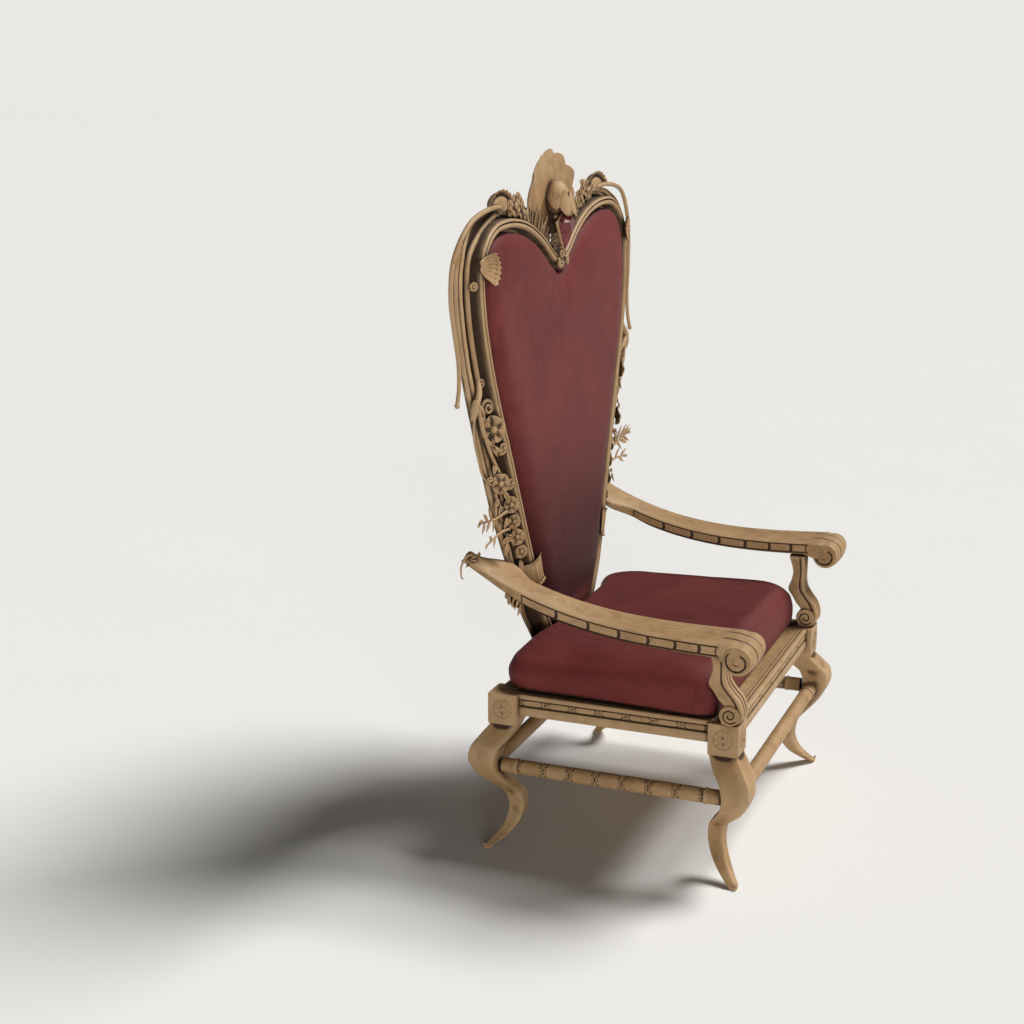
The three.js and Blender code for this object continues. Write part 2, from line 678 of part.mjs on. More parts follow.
function supportGeometry() {
  const edge = (list, count) => {
    const curve = new THREE.CatmullRomCurve3(list.map(([share, back]) => vec(back, share * supportHeight, 0)));
    return curve.getPoints(count).map((p) => [armFrontY + p.x, SEAT_TOP + GAP + clamp(p.y, 0, supportHeight)]);
  };
  const outline = [...edge(SUPPORT_FRONT, 13), ...edge(SUPPORT_REAR, 14)];
  return bentPrism(outline, 1, (y, z, step) => {
    const lean = SUPPORT_LEAN * ((z - SEAT_TOP) / supportHeight);
    return vec(supportFootX + lean + SUPPORT_WIDTH * (step - 0.5), y, z);
  });
}
addPair('arm_support', supportGeometry(), oak);

// Carved vine of one side: a union of strands, curls, blossoms and blades, all
// placed on the border
const strandDepth = CHANNEL_DEPTH - STRAND_RADIUS - 2 * GAP;
const borderPath = (list, count) => smoothPath(list.map(([station, out, depth]) => (
  onBorder(station, out, depth))), count);

const BLOSSOM_BACK = 7;
const blossomDepth = CHANNEL_DEPTH - RAIL_PROUD - BLOSSOM_BACK - 3 * GAP;
const overRail = (radius) => CHANNEL_DEPTH - RAIL_PROUD - radius - 3 * GAP;

function blossom(centre, radius, turn = 0) {
  const petals = 5;
  const ring = (reach, depth, waist) => Array.from({ length: 2 * petals }, (_, k) => {
    const angle = degToRad(turn) + (Math.PI * k) / petals;
    const r = radius * reach * (k % 2 ? waist : 1);
    return centre.clone().add(vec(r * Math.sin(angle), -depth, r * Math.cos(angle)));
  });
  return loft([ring(0.9, -BLOSSOM_BACK, 0.72), ring(1, 4, 0.62), [centre.clone().add(vec(0, -8, 0))]]);
}

// Pointed blade from its foot to its tip, four-sided in section
function blade(foot, tip, width, thickness) {
  const along = tip.clone().sub(foot);
  const across = vec(0, 1, 0).cross(along).normalize();
  return loft([[0, 0.3, 0.5], [0.5, 0.5, 0.5], [1, 0.06, 0.2]].map(([share, wide, thick]) => {
    const centre = foot.clone().addScaledVector(along, share);
    return [
      centre.clone().addScaledVector(across, width * wide), centre.clone().add(vec(0, thickness * thick, 0)),
      centre.clone().addScaledVector(across, -width * wide), centre.clone().add(vec(0, -thickness * thick, 0)),
    ];
  }));
}

// Curl that winds in about a centre
function curl(centre, radius, startAngle, turns, hand) {
  const steps = Math.round(5 * turns);
  const path = Array.from({ length: steps + 1 }, (_, i) => {
    const share = i / steps;
    const angle = degToRad(startAngle + hand * 360 * turns * share);
    const r = radius * (1 - 0.75 * share);
    return centre.clone().add(vec(r * Math.cos(angle), 0, r * Math.sin(angle)));
  });
  return sweep(path, (share) => CURL_RADIUS * (1 - 0.25 * share), 4);
}

function vineGeometry() {
  const shoulder = side(0.94);
  const high = overRail(STRAND_RADIUS);
  const outside = (station) => widthAt(station) + TENDRIL_RADIUS + TENDRIL_CLEARANCE;
  const mainStrand = borderPath([
    [lobe(0.13), 31, strandDepth], [lobe(0.35), 32, strandDepth], [lobe(0.6), 33, strandDepth],
    [lobe(0.82), 34, strandDepth], [shoulder, 40, strandDepth], [side(0.88), 42, strandDepth],
    [side(0.8), 42, strandDepth], [side(0.74), 42, strandDepth], [side(0.71), 48, strandDepth - 3],
    [side(0.692), 72, high], [side(0.679), 96, high],
  ], 13);
  const tendril = borderPath([
    [lobe(0.74), 32, strandDepth], [lobe(0.88), 46, overRail(TENDRIL_RADIUS) + 4],
    [side(0.966), 88, overRail(TENDRIL_RADIUS)],
    [side(0.925), outside(side(0.925)), 12], [side(0.88), outside(side(0.88)), 15],
    [side(0.83), outside(side(0.83)) - 6, 15], [side(0.77), outside(side(0.77)) - 6, 15],
    [side(0.73), outside(side(0.73)) + 12, 15], [side(0.707), outside(side(0.707)) + 34, 15],
  ], 11);
  const channelStrand = borderPath([
    [side(0.679), 92, high], [side(0.655), 74, high], [side(0.63), 58, strandDepth - 5],
    [side(0.585), 51, strandDepth], [side(0.51), 50, strandDepth], [side(0.42), 48, strandDepth],
    [side(0.34), 43, strandDepth], [side(0.27), 38, strandDepth],
  ], 9);
  const knobFoot = side(0.689);
  const knob = [0, 1, 2, 3].map((i) => onBorder(knobFoot + 0.12 * i, 92 + 8 * i, overRail(KNOB_RADIUS) + 2 * i));
  const parts = [
    sweep(mainStrand, (share) => STRAND_RADIUS * (0.8 + 0.2 * share), 4),
    sweep(tendril, (share) => TENDRIL_RADIUS * (1 - 0.15 * share), 4),
    sweep(channelStrand, (share) => STRAND_RADIUS * (1 - 0.15 * share), 4),
    sweep(knob, (share) => KNOB_RADIUS * [0.6, 0.95, 1, 0.55][Math.round(3 * share)], 5),
  ];
  for (const [share, out, radius, start, hand] of [
    [0.64, 42, 20, -20, 1], [0.548, 37, 15, 0, -1], [0.445, 36, 14, 0, -1],
  ]) {
    parts.push(curl(onBorder(side(share), out, strandDepth), radius, start, 1.1, hand));
  }
  for (const [share, out, radius, turn] of [
    [0.6, 55, 30, 10], [0.475, 66, 25, 30], [0.4, 47, 20, 0], [0.332, 48, 24, 15], [0.29, 42, 17, 50],
  ]) {
    parts.push(blossom(onBorder(side(share), out, blossomDepth), radius, turn));
  }
  // Twigs that stand out past the border above the arm
  const twigFoot = onBorder(side(0.4), 50, overRail(5));
  const twigTip = twigFoot.clone().add(vec(TWIG_REACH, 2, -8));
  const twigMiddle = twigFoot.clone().lerp(twigTip, 0.5).add(vec(0, 0, 8));
  parts.push(sweep([twigFoot, twigMiddle, twigTip], (share) => 5 - 2.5 * share, 4));
  for (const [share, dx, dz] of [[0.45, 22, 44], [0.66, 48, 32], [0.6, 46, -14], [0.92, 32, 22]]) {
    const foot = twigFoot.clone().lerp(twigTip, share).add(vec(0, 0, 6 * (1 - share)));
    parts.push(blade(foot, foot.clone().add(vec(dx, 0, dz)), BLADE_WIDTH - 2, 6));
  }
  // Curled shell leaf, blossoms and blades that crown the lobe
  const leafFoot = onBorder(lobe(0.66), 32, strandDepth);
  parts.push(leafSheet(2, 5, 7, (row, column) => {
    const angle = degToRad(lerp(-62, 66, column));
    const reach = lerp(8, SHELL_LEAF_REACH * (1 + 0.07 * Math.cos(5 * Math.PI * column)), row);
    const x = leafFoot.x + 1.25 * reach * Math.sin(angle) + 10 * row;
    const z = leafFoot.z + reach * Math.cos(angle) * 0.85;
    return vec(x, backPlaneAt(z) + strandDepth - 8 - 10 * Math.sin(Math.PI * row) + 5 * row, z);
  }));
  for (const [share, out, radius] of [[0.44, 46, 26], [0.53, 52, 28]]) {
    parts.push(blossom(onBorder(lobe(share), out, strandDepth - 4), radius, 360 * share));
  }
  parts.push(curl(onBorder(lobe(0.6), 42, strandDepth), 13, 200, 1.1, 1));
  for (const [share, height, slope] of [
    [0.16, 60, -4], [0.21, 54, 16], [0.26, 64, 0], [0.31, 52, 14],
  ]) {
    const foot = onBorder(lobe(share), 31, strandDepth);
    parts.push(blade(foot, foot.clone().add(vec(slope, 0, height)), BLADE_WIDTH, 8));
  }
  return cutBy(joined(parts), [borderSolid]);
}
const vineSolid = vineGeometry();
addPair('vine', vineSolid, oak);

// Fan leaf that laps from the border over the bead and lifts clear of the leather
function fanLeafGeometry() {
  const thickness = 5;
  const stem = onBorder(side(0.925), 62, 0);
  return leafSheet(3, 7, thickness, (row, column) => {
    const angle = degToRad(lerp(-44, 44, column));
    const ripple = 1 + 0.05 * Math.cos(22 * (column - 0.5));
    const reach = lerp(FAN_LEAF_ROOT, FAN_LEAF_REACH * ripple, row);
    const x = stem.x - reach * Math.cos(angle);
    const z = stem.z - 12 * row + 0.53 * reach * Math.sin(angle);
    const lift = clamp(2 * row - 1, 0, 1);
    const rib = 2 * Math.cos(18 * column) * lift;
    return vec(x, backPlaneAt(z) - BEAD_PROUD + 1 - thickness - GAP - 12 * lift - rib, z);
  });
}
addPair('fan_leaf', fanLeafGeometry(), oak);

// Leaf with a toothed edge that hangs from the border below the arm
function wingLeafGeometry() {
  const top = side(0.25);
  const foot = side(0.155);
  return leafSheet(8, 2, 8, (row, column) => {
    const station = lerp(top, foot, row);
    const tooth = 1 + 0.22 * Math.cos(8 * Math.PI * row);
    const reach = (40 * Math.sin(Math.PI * (0.12 + 0.88 * row)) * tooth + 6) * column;
    return onBorder(station, widthAt(station) + GAP + reach, CHANNEL_DEPTH - 6 + 6 * Math.sin(Math.PI * column));
  });
}
addPair('wing_leaf', wingLeafGeometry(), oak);

// Husk wrapped round the lower end of the bead
function huskGeometry() {
  return leafSheet(3, 5, 5, (row, column) => {
    const station = lerp(side(0.265), side(0.185), row);
    const flare = 1 + 0.25 * Math.cos(Math.PI * row);
    const out = lerp(-26, 52, column) * flare;
    const lift = BEAD_PROUD + 12.2;
    return onBorder(station, out, 1.35 * lift * column ** 4 - lift);
  });
}
addPair('bead_husk', huskGeometry(), oak);

// Crest leaf: a scalloped dish. Each entry gives an angle from upright and the
// reach as a share of the rise.
const CREST_OUTLINE = [
  [0, 1], [21, 0.975], [43, 0.945], [52, 0.89], [60, 0.84], [66, 0.73], [72, 0.595], [81, 0.44],
  [100, 0.34], [130, 0.28], [158, 0.25],
];
const CREST_WIDEST_ANGLE = 60;
const crestCentreZ = heartStations[0].z + CREST_CENTRE_LIFT;
const crestReach = (angle) => {
  const size = Math.abs(angle);
  const i = CREST_OUTLINE.findIndex(([a]) => a >= size);
  if (i <= 0) return CREST_RISE;
  const [a0, r0] = CREST_OUTLINE[i - 1];
  const [a1, r1] = CREST_OUTLINE[i];
  return CREST_RISE * lerp(r0, r1, (size - a0) / (a1 - a0));
};

function crestLeafGeometry(grow = 0) {
  const widest = crestReach(CREST_WIDEST_ANGLE) * Math.sin(degToRad(CREST_WIDEST_ANGLE));
  return leafSheet(2, 2 * CREST_SCALLOPS, LEAF_THICKNESS + 2 * grow, (row, column) => {
    const angle = lerp(-158, 158, column);
    const wave = Math.cos(2 * Math.PI * CREST_SCALLOPS * (column - 0.5));
    const reach = lerp(10, crestReach(angle) * (1 + 0.025 * wave) + grow, row);
    const x = reach * Math.sin(degToRad(angle)) * (CREST_HALF_WIDTH / widest);
    const z = crestCentreZ + reach * Math.cos(degToRad(angle));
    const rib = 2.5 * wave * row;
    const dish = CREST_DISH * (1 - (x / CREST_HALF_WIDTH) ** 2);
    const behindVine = 31 * (1 - smoothstep(z, crestCentreZ + 85, crestCentreZ + 160));
    return vec(x, backPlaneAt(z) + Math.max(dish, behindVine) - 5 + rib - grow, z);
  });
}
addPiece('crest_leaf', mainBody(cutBy(crestLeafGeometry(), [borderGeometry(2 * GAP)])), oak);

// Bud in the hollow of the crest leaf
const budZ = crestCentreZ + BUD_RADIUS * 2.1;
function budGeometry(grow = 0) {
  const levels = 6;
  const around = 10;
  const centreY = backPlaneAt(budZ) - 6;
  return loft(Array.from({ length: levels + 1 }, (_, i) => {
    const share = i / levels;
    const swell = Math.sin(Math.PI * lerp(0.06, 0.9, share)) ** 0.8;
    const z = budZ + (BUD_RADIUS + grow) * lerp(-1.05, 0.98, share);
    return Array.from({ length: around }, (__, k) => {
      const angle = (2 * Math.PI * k) / around;
      const flute = 1 + 0.06 * Math.cos(5 * angle);
      const r = (BUD_RADIUS * swell + grow) * flute;
      return vec(r * Math.cos(angle), centreY + 0.85 * r * Math.sin(angle), z);
    });
  }));
}
addPiece('crest_bud', cutBy(budGeometry(), [crestLeafGeometry(GAP)]), oak);

// Kite-shaped setting and its faceted stone
const stoneTop = budZ - BUD_RADIUS * 0.75;
const stoneWaist = stoneTop - 0.27 * STONE_HEIGHT;
const stoneFoot = stoneTop - STONE_HEIGHT;
const settingFrontY = backPlaneAt(stoneWaist) - 22;
const kite = (scale, y, rim = 0) => {
  const middle = stoneWaist;
  const half = (STONE_HALF_WIDTH + rim) * scale;
  return [
    vec(0, y, middle + (stoneTop - middle + rim) * scale), vec(half, y, middle),
    vec(0, y, middle + (stoneFoot - middle - 1.4 * rim) * scale), vec(-half, y, middle),
  ];
};
const settingThickness = 16;
const stalk = boxGeometry(
  vec(-STONE_HALF_WIDTH / 2, settingFrontY + settingThickness - 2, stoneWaist - 26),
  vec(STONE_HALF_WIDTH / 2, settingFrontY + 70, stoneWaist + 6),
);
addPiece('stone_setting', cutBy(joined([
  loft([kite(1, settingFrontY - 4, SETTING_RIM - 3), kite(1, settingFrontY + 4, SETTING_RIM),
    kite(1, settingFrontY + settingThickness, SETTING_RIM)]), stalk,
]), [
  crestLeafGeometry(GAP), budGeometry(GAP), borderSolid,
  loft([kite(1, settingFrontY - 10, GAP), kite(1, settingFrontY + 2, GAP)]),
]), oak);
addPiece('crest_stone', cutBy(loft([
  kite(1, settingFrontY + 2 - GAP), kite(1, settingFrontY - 6), kite(0.45, settingFrontY - STONE_DEPTH),
]), [budGeometry(GAP)]), stone);

// The origin is on the floor, under the middle of the whole throne
throne.updateMatrixWorld(true);
const extent = new THREE.Box3().setFromObject(throne);
throne.position.y = -(extent.min.y + extent.max.y) / 2;
throne.updateMatrixWorld(true);

export default throne;
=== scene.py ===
"""Carved throne with a heart-shaped leather back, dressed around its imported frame.

The carving is drawn in millimetres on the maker's drawing, with the middle of the throne at
x = 0 and the seat facing -Y.
"""
import sys
import logging
import math
from collections.abc import Callable, Sequence
from dataclasses import dataclass, field
from enum import Enum

import bmesh
import bpy
import numpy as np
from mathutils import Matrix, Vector, noise
from mathutils.bvhtree import BVHTree


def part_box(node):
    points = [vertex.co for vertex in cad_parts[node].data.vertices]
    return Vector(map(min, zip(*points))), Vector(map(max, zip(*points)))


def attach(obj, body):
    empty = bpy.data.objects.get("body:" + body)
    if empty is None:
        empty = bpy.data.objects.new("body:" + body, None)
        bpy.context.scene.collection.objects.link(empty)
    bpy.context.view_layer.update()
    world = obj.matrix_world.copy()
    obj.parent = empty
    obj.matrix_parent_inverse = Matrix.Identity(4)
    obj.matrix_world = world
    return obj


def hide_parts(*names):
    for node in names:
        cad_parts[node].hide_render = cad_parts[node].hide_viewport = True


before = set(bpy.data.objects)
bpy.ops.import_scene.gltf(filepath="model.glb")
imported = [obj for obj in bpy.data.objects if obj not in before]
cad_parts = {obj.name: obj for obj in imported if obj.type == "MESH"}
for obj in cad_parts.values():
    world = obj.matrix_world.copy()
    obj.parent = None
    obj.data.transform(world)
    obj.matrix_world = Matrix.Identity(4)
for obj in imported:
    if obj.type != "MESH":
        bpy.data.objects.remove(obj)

log = logging.getLogger("throne")

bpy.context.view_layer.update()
MM = 0.001
SEAT_TOP = 400.0
SEAT_WIDTH = 829.0
SEAT_DEPTH = 616.0
BLOCK_SIDE = 74.0
BLOCK_HEIGHT = 77.0
GAP = 0.3
DEPTH = Vector((0.0, 1.0, 0.0))

Ring = list[Vector]


def lerp(low: float, high: float, share: float) -> float:
    """Value at a share of the way from low to high."""
    return low + (high - low) * share


def clamp(value: float, low: float = 0.0, high: float = 1.0) -> float:
    """Value kept between low and high."""
    return max(low, min(high, value))


def ease(value: float, low: float, high: float) -> float:
    """Smooth step from 0 at low to 1 at high."""
    share = clamp((value - low) / (high - low))
    return share * share * (3.0 - 2.0 * share)


def groove(distance: float, half_width: float) -> float:
    """Soft round groove: 1 in its middle and 0 past its half width."""
    return 1.0 - ease(abs(distance), 0.25 * half_width, half_width)


def drawing_shift() -> float:
    """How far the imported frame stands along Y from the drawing, in millimetres."""
    low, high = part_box("seat_rail_left")
    return (low.y + high.y) / 2.0 / MM


class Spline:
    """Centripetal curve through points, read by a share of its length in points."""

    def __init__(self, points: Sequence[Sequence[float]]) -> None:
        """Keeps the points and one beyond each end."""
        inner = [Vector(tuple(point) + (0.0,) * (3 - len(point))) for point in points]
        first = inner[0] * 2.0 - inner[1]
        last = inner[-1] * 2.0 - inner[-2]
        self.points = [first, *inner, last]

    def at(self, share: float) -> Vector:
        """Point at a share from the first to the last point.

        Args:
            share: Share of the way, from 0 to 1.

        Returns:
            The point.
        """
        spans = len(self.points) - 3
        place = clamp(share) * spans
        index = min(int(place), spans - 1)
        inside = place - index
        a, b, c, d = self.points[index:index + 4]
        one = max((b - a).length ** 0.5, 1e-4)
        two = max((c - b).length ** 0.5, 1e-4)
        three = max((d - c).length ** 0.5, 1e-4)
        start = ((b - a) / one - (c - a) / (one + two) + (c - b) / two) * two
        end = ((c - b) / two - (d - b) / (two + three) + (d - c) / three) * two
        square = inside * inside
        cube = square * inside
        return (
            b * (2.0 * cube - 3.0 * square + 1.0)
            + start * (cube - 2.0 * square + inside)
            + c * (3.0 * square - 2.0 * cube)
            + end * (cube - square)
        )

    def spaced(self, count: int) -> Ring:
        """Points at even steps along the curve.

        Args:
            count: Number of steps.

        Returns:
            One point more than there are steps.
        """
        fine = [self.at(index / (8 * count)) for index in range(8 * count + 1)]
        run = np.cumsum([0.0] + [(b - a).length for a, b in zip(fine, fine[1:])])
        wanted = np.linspace(0.0, run[-1], count + 1)
        columns = [np.interp(wanted, run, [point[axis] for point in fine]) for axis in range(3)]
        return [Vector(point) for point in zip(*columns)]


class Ends(Enum):
    """How the first and last ring of a skin are closed."""

    CAPPED = "capped"
    ENDLESS = "endless"
    PINCHED = "pinched"


class LeafShape(Enum):
    """Outline of a carved leaf: where it is widest and how round its tip is."""

    PETAL = (1.5, 0.62)
    WILLOW = (0.75, 1.15)
    SEPAL = (1.05, 0.8)
    TONGUE = (0.8, 0.55)

    def width(self, share: float) -> float:
        """Share of the leaf's width at a share of its length."""
        lean, power = self.value
        return max(math.sin(math.pi * clamp(share, 0.004, 0.996) ** lean), 0.0) ** power


def spot(point: Vector, turn: float = 0.0, tilt: float = 0.0, yaw: float = 0.0) -> Matrix:
    """Place for an ornament that is drawn upright and faces -Y.

    Args:
        point: Foot or centre of the ornament.
        turn: Lean to the right as seen from the front, in degrees.
        tilt: How far its tip leans out to the front, in degrees.
        yaw: Turn about the upright, in degrees.

    Returns:
        The matrix that takes the drawn ornament to its place.
    """
    return (
        Matrix.Translation(point)
        @ Matrix.Rotation(math.radians(yaw), 4, "Z")
        @ Matrix.Rotation(math.radians(turn), 4, "Y")
        @ Matrix.Rotation(math.radians(tilt), 4, "X")
    )


HOME = Matrix.Identity(4)


class Carving:
    """One piece of the throne in the making."""

    def __init__(self) -> None:
        """Starts with an empty mesh."""
        self.mesh = bmesh.new()
        # Per-point marks: grime in cuts, and painted shade where a carving sets it, such as the border's
        # channel.
        self.soil_and_shade = self.mesh.verts.layers.float.new("soil_and_shade")

    def loft(
        self,
        rings: Sequence[Ring],
        ends: Ends = Ends.CAPPED,
        stand: Matrix = HOME,
        stains_and_shade: Sequence[Sequence[float]] = (),
    ) -> None:
        """Stretches a grid over a row of closed rings with equally many points.

        Args:
            rings: The rings, in order.
            ends: How the skin is closed at its ends.
            stand: Place of the finished skin.
            stains_and_shade: Grime, and painted shade where a carving sets it, rubbed in at each point of
                each ring, from 0 to 1.
        """
        rows = [list(ring) for ring in rings]
        count = len(rows[0])
        soiled_and_shaded = [list(row) for row in stains_and_shade] or [[0.0] * count for _ in rows]
        soiled_and_shaded = [*soiled_and_shaded, soiled_and_shaded[0]] if ends is Ends.ENDLESS else [soiled_and_shaded[0], *soiled_and_shaded, soiled_and_shaded[-1]]
        if ends is Ends.CAPPED:
            low = sum(rows[0], Vector()) / count
            high = sum(rows[-1], Vector()) / count
            rows = [[low] * count, *rows, [high] * count]
        elif ends is Ends.ENDLESS:
            rows.append(rows[0])
        else:
            pinched = [
                [(point + ring[count - 1 - k]) / 2.0 for k, point in enumerate(ring)]
                for ring in (rows[0], rows[-1])
            ]
            rows = [pinched[0], *rows, pinched[1]]
        last = len(rows) - 1
        made = bmesh.ops.create_grid(self.mesh, x_segments=count, y_segments=last, size=0.5)
        for vertex in made["verts"]:
            column = round((vertex.co.x + 0.5) * count) % count
            row = round((vertex.co.y + 0.5) * last)
            vertex.co = stand @ rows[row][column]
            vertex[self.soil_and_shade] = soiled_and_shaded[row][column]
        self._close(made["verts"])

    def _close(self, vertices: list[bmesh.types.BMVert]) -> None:
        """Merges the seams of a new skin and turns its faces outwards.

        Args:
            vertices: Vertices of the new skin.
        """
        bmesh.ops.remove_doubles(self.mesh, verts=vertices, dist=1e-4)
        alive = [vertex for vertex in vertices if vertex.is_valid]
        faces = list({face for vertex in alive for face in vertex.link_faces})
        bmesh.ops.recalc_face_normals(self.mesh, faces=faces)

    def tube(
        self,
        path: Sequence[Vector],
        radius: Callable[[float], float],
        sides: int = 10,
        stand: Matrix = HOME,
    ) -> None:
        """Sweeps a circle along a path that never runs straight to the front.

        Args:
            path: Points of the middle line.
            radius: Half width at a share of the path.
            sides: Points round the circle.
            stand: Place of the finished bar.
        """
        rings = []
        last = len(path) - 1
        for index, point in enumerate(path):
            along = (path[min(index + 1, last)] - path[max(index - 1, 0)]).normalized()
            across = DEPTH.cross(along).normalized()
            up = along.cross(across)
            reach = max(radius(index / last), 0.02)
            rings.append([
                point + across * (reach * math.cos(angle)) + up * (reach * math.sin(angle))
                for angle in (2.0 * math.pi * k / sides for k in range(sides))
            ])
        self.loft(rings, Ends.CAPPED, stand)

    def sheet(
        self,
        columns: int,
        rows: int,
        front: Callable[[float, float], Vector],
        thickness: float,
    ) -> None:
        """Closed sheet with a front given by shares across and along.

        Args:
            columns: Steps across.
            rows: Steps along.
            front: Point of the front at shares across and along.
            thickness: How far the back lies behind the front in its middle.
        """
        rings = []
        for row in range(rows + 1):
            along = row / rows
            face = [front(column / columns, along) for column in range(columns + 1)]
            edge = [
                thickness * (1.0 - 0.85 * abs(2.0 * column / columns - 1.0) ** 7)
                * (1.0 - 0.8 * abs(2.0 * along - 1.0) ** 9)
                for column in range(columns + 1)
            ]
            rings.append(face + [face[k] + DEPTH * edge[k] for k in range(columns, -1, -1)])
        self.loft(rings, Ends.PINCHED)

    def leaf(
        self,
        stand: Matrix,
        length: float,
        width: float,
        thick: float,
        shape: LeafShape = LeafShape.WILLOW,
        bend: float = 0.0,
        cup: float = 0.0,
        sway: float = 0.0,
        rows: int = 8,
        sides: int = 12,
    ) -> None:
        """Carves one leaf or petal with a sunk midrib.

        Args:
            stand: Place of its foot; the leaf runs along local +Z and faces -Y.
            length: From foot to tip.
            width: Across its widest part.
            thick: Thickness in the middle.
            shape: Outline.
            bend: How far the tip comes forward.
            cup: How far its sides stand forward of its middle.
            sway: How far the tip leans to the right.
            rows: Steps along.
            sides: Points round the section.
        """
        rings = []
        for row in range(rows + 1):
            share = row / rows
            body = shape.width(share)
            half = max(0.5 * width * body, 0.05)
            ring = []
            for k in range(sides):
                angle = 2.0 * math.pi * k / sides
                side, face = math.cos(angle), math.sin(angle)
                crease = 0.22 * thick * groove(side, 0.35) * (face > 0.0)
                y = (
                    -0.5 * thick * face * (0.35 + 0.65 * body) + crease
                    - bend * share * share - cup * side * side * body
                )
                ring.append(Vector((half * side + sway * share * share, y, length * share)))
            rings.append(ring)
        self.loft(rings, Ends.CAPPED, stand)

    def ball(self, stand: Matrix, radius: float, flat: float = 1.0) -> None:
        """Small round button, flattened towards the front."""
        shape = stand @ Matrix.Diagonal((1.0, flat, 1.0, 1.0))
        bmesh.ops.create_icosphere(self.mesh, subdivisions=2, radius=radius, matrix=shape)

    def blossom(self, stand: Matrix, radius: float, petals: int = 5) -> None:
        """Open flower with cupped petals round a button.

        Args:
            stand: Place of its middle; it faces local -Y.
            radius: From its middle to a petal's tip.
            petals: Number of petals.
        """
        for index in range(petals):
            turn = Matrix.Rotation(2.0 * math.pi * index / petals, 4, "Y")
            lean = Matrix.Rotation(math.radians(9.0 if index % 2 else 3.0), 4, "X")
            self.leaf(
                stand @ turn @ lean @ Matrix.Translation((0.0, 0.0, 0.08 * radius)),
                length=0.95 * radius,
                width=1.12 * radius * 5.0 / petals,
                thick=0.2 * radius,
                shape=LeafShape.PETAL,
                bend=-0.1 * radius,
                cup=0.14 * radius,
            )
        self.ball(stand @ Matrix.Translation((0.0, -0.12 * radius, 0.0)), 0.27 * radius, 0.8)
        for index in range(2 * petals):
            angle = math.pi * index / petals
            bead = Vector((math.sin(angle), -0.45, math.cos(angle))) * (0.3 * radius)
            self.ball(stand @ Matrix.Translation(bead), 0.07 * radius)

    def curl(
        self,
        stand: Matrix,
        radius: float,
        turns: float,
        start: float,
        hand: int,
        thick: float,
    ) -> None:
        """Tendril that winds in to a small ball.

        Args:
            stand: Place of its centre.
            radius: Distance of its outer end from the centre.
            turns: How many times it goes round.
            start: Angle of the outer end, in degrees from the right.
            hand: 1 to wind anticlockwise as seen from the front, -1 clockwise.
            thick: Half thickness of the outer end.
        """
        steps = max(int(20 * turns), 8)
        path = []
        for index in range(steps + 1):
            share = index / steps
            angle = math.radians(start) + hand * 2.0 * math.pi * turns * share
            reach = radius * (1.0 - 0.8 * share ** 0.85)
            path.append(Vector((reach * math.cos(angle), -0.18 * radius * share, reach * math.sin(angle))))
        self.tube(path, lambda share: thick * (1.0 - 0.4 * share), 8, stand=stand)
        self.ball(stand @ Matrix.Translation(path[-1]), 1.05 * thick)

    def scroll(
        self,
        centre: tuple[float, float],
        radius: float,
        near: float,
        far: float,
        turns: float,
        start: float,
        bands: Sequence[float] = (),
        crown: float = 0.0,
        hand: int = 1,
    ) -> None:
        """Drum across X whose round side is banded and whose ends carry a spiral.

        Args:
            centre: Y and Z of its middle.
            radius: Radius of the drum.
            near: X of one end.
            far: X of the other end.
            turns: Turns of the spiral.
            start: Angle at which the spiral leaves the rim, in degrees.
            bands: Shares across at which a groove runs round the drum.
            crown: How much smaller the radius is at both ends.
            hand: Winding sense of the spiral.
        """
        around = 84
        across = 30
        face_rings = 17
        depth = min(0.11 * radius, 3.4)
        rounding = 0.05 * radius

        def relief(angle: float, reach: float) -> float:
            """Depth of the spiral's groove at a place on the face, from 0 to 1."""
            best = 0.0
            for lap in range(int(turns) + 2):
                run = hand * (math.degrees(angle) - start) % 360.0 + 360.0 * lap
                if run > 360.0 * turns:
                    continue
                line = radius * lerp(0.8, 0.16, run / (360.0 * turns))
                best = max(best, groove(reach - line, radius * 0.085) * ease(run, -10.0, 40.0))
            return best

        def ring(x: float, reach: Callable[[float], float], sink: Callable[[float], float]) -> Ring:
            """Ring about the drum's axis."""
            return [
                Vector((
                    x + sink(angle),
                    centre[0] + reach(angle) * math.cos(angle),
                    centre[1] + reach(angle) * math.sin(angle),
                ))
                for angle in angles
            ]

        angles = [2.0 * math.pi * k / around for k in range(around)]
        inward = 1.0 if far > near else -1.0
        end_radius = radius - crown
        rings = []
        stains_and_shade = []
        for step in range(1, face_rings + 1):
            reach = (end_radius - rounding) * step / face_rings
            rings.append(ring(near, lambda _, r=reach: r, lambda a, r=reach: inward * depth * relief(a, r)))
            stains_and_shade.append([0.5 * relief(angle, reach) for angle in angles])
        for step in range(across + 1):
            share = step / across
            side = abs(2.0 * share - 1.0)
            band = sum(groove(share - at, 0.045) for at in bands)
            size = radius - crown * side ** 2.5 - depth * 0.8 * band
            x = lerp(near + inward * rounding * 0.6, far - inward * rounding * 0.6, share)
            rings.append(ring(x, lambda _, r=size: r, lambda _: 0.0))
            stains_and_shade.append([0.45 * band] * around)
        for step in range(face_rings, 0, -1):
            reach = (end_radius - rounding) * step / face_rings
            rings.append(ring(far, lambda _, r=reach: r, lambda a, r=reach: -inward * depth * relief(a, r)))
            stains_and_shade.append([0.5 * relief(angle, reach) for angle in angles])
        self.loft(rings, stains_and_shade=stains_and_shade)

    def flip(self) -> None:
        """Turns the piece into its own mirror image."""
        mirrored = Matrix.Diagonal((-1.0, 1.0, 1.0, 1.0))
        bmesh.ops.transform(self.mesh, matrix=mirrored, verts=self.mesh.verts)
        bmesh.ops.reverse_faces(self.mesh, faces=self.mesh.faces)

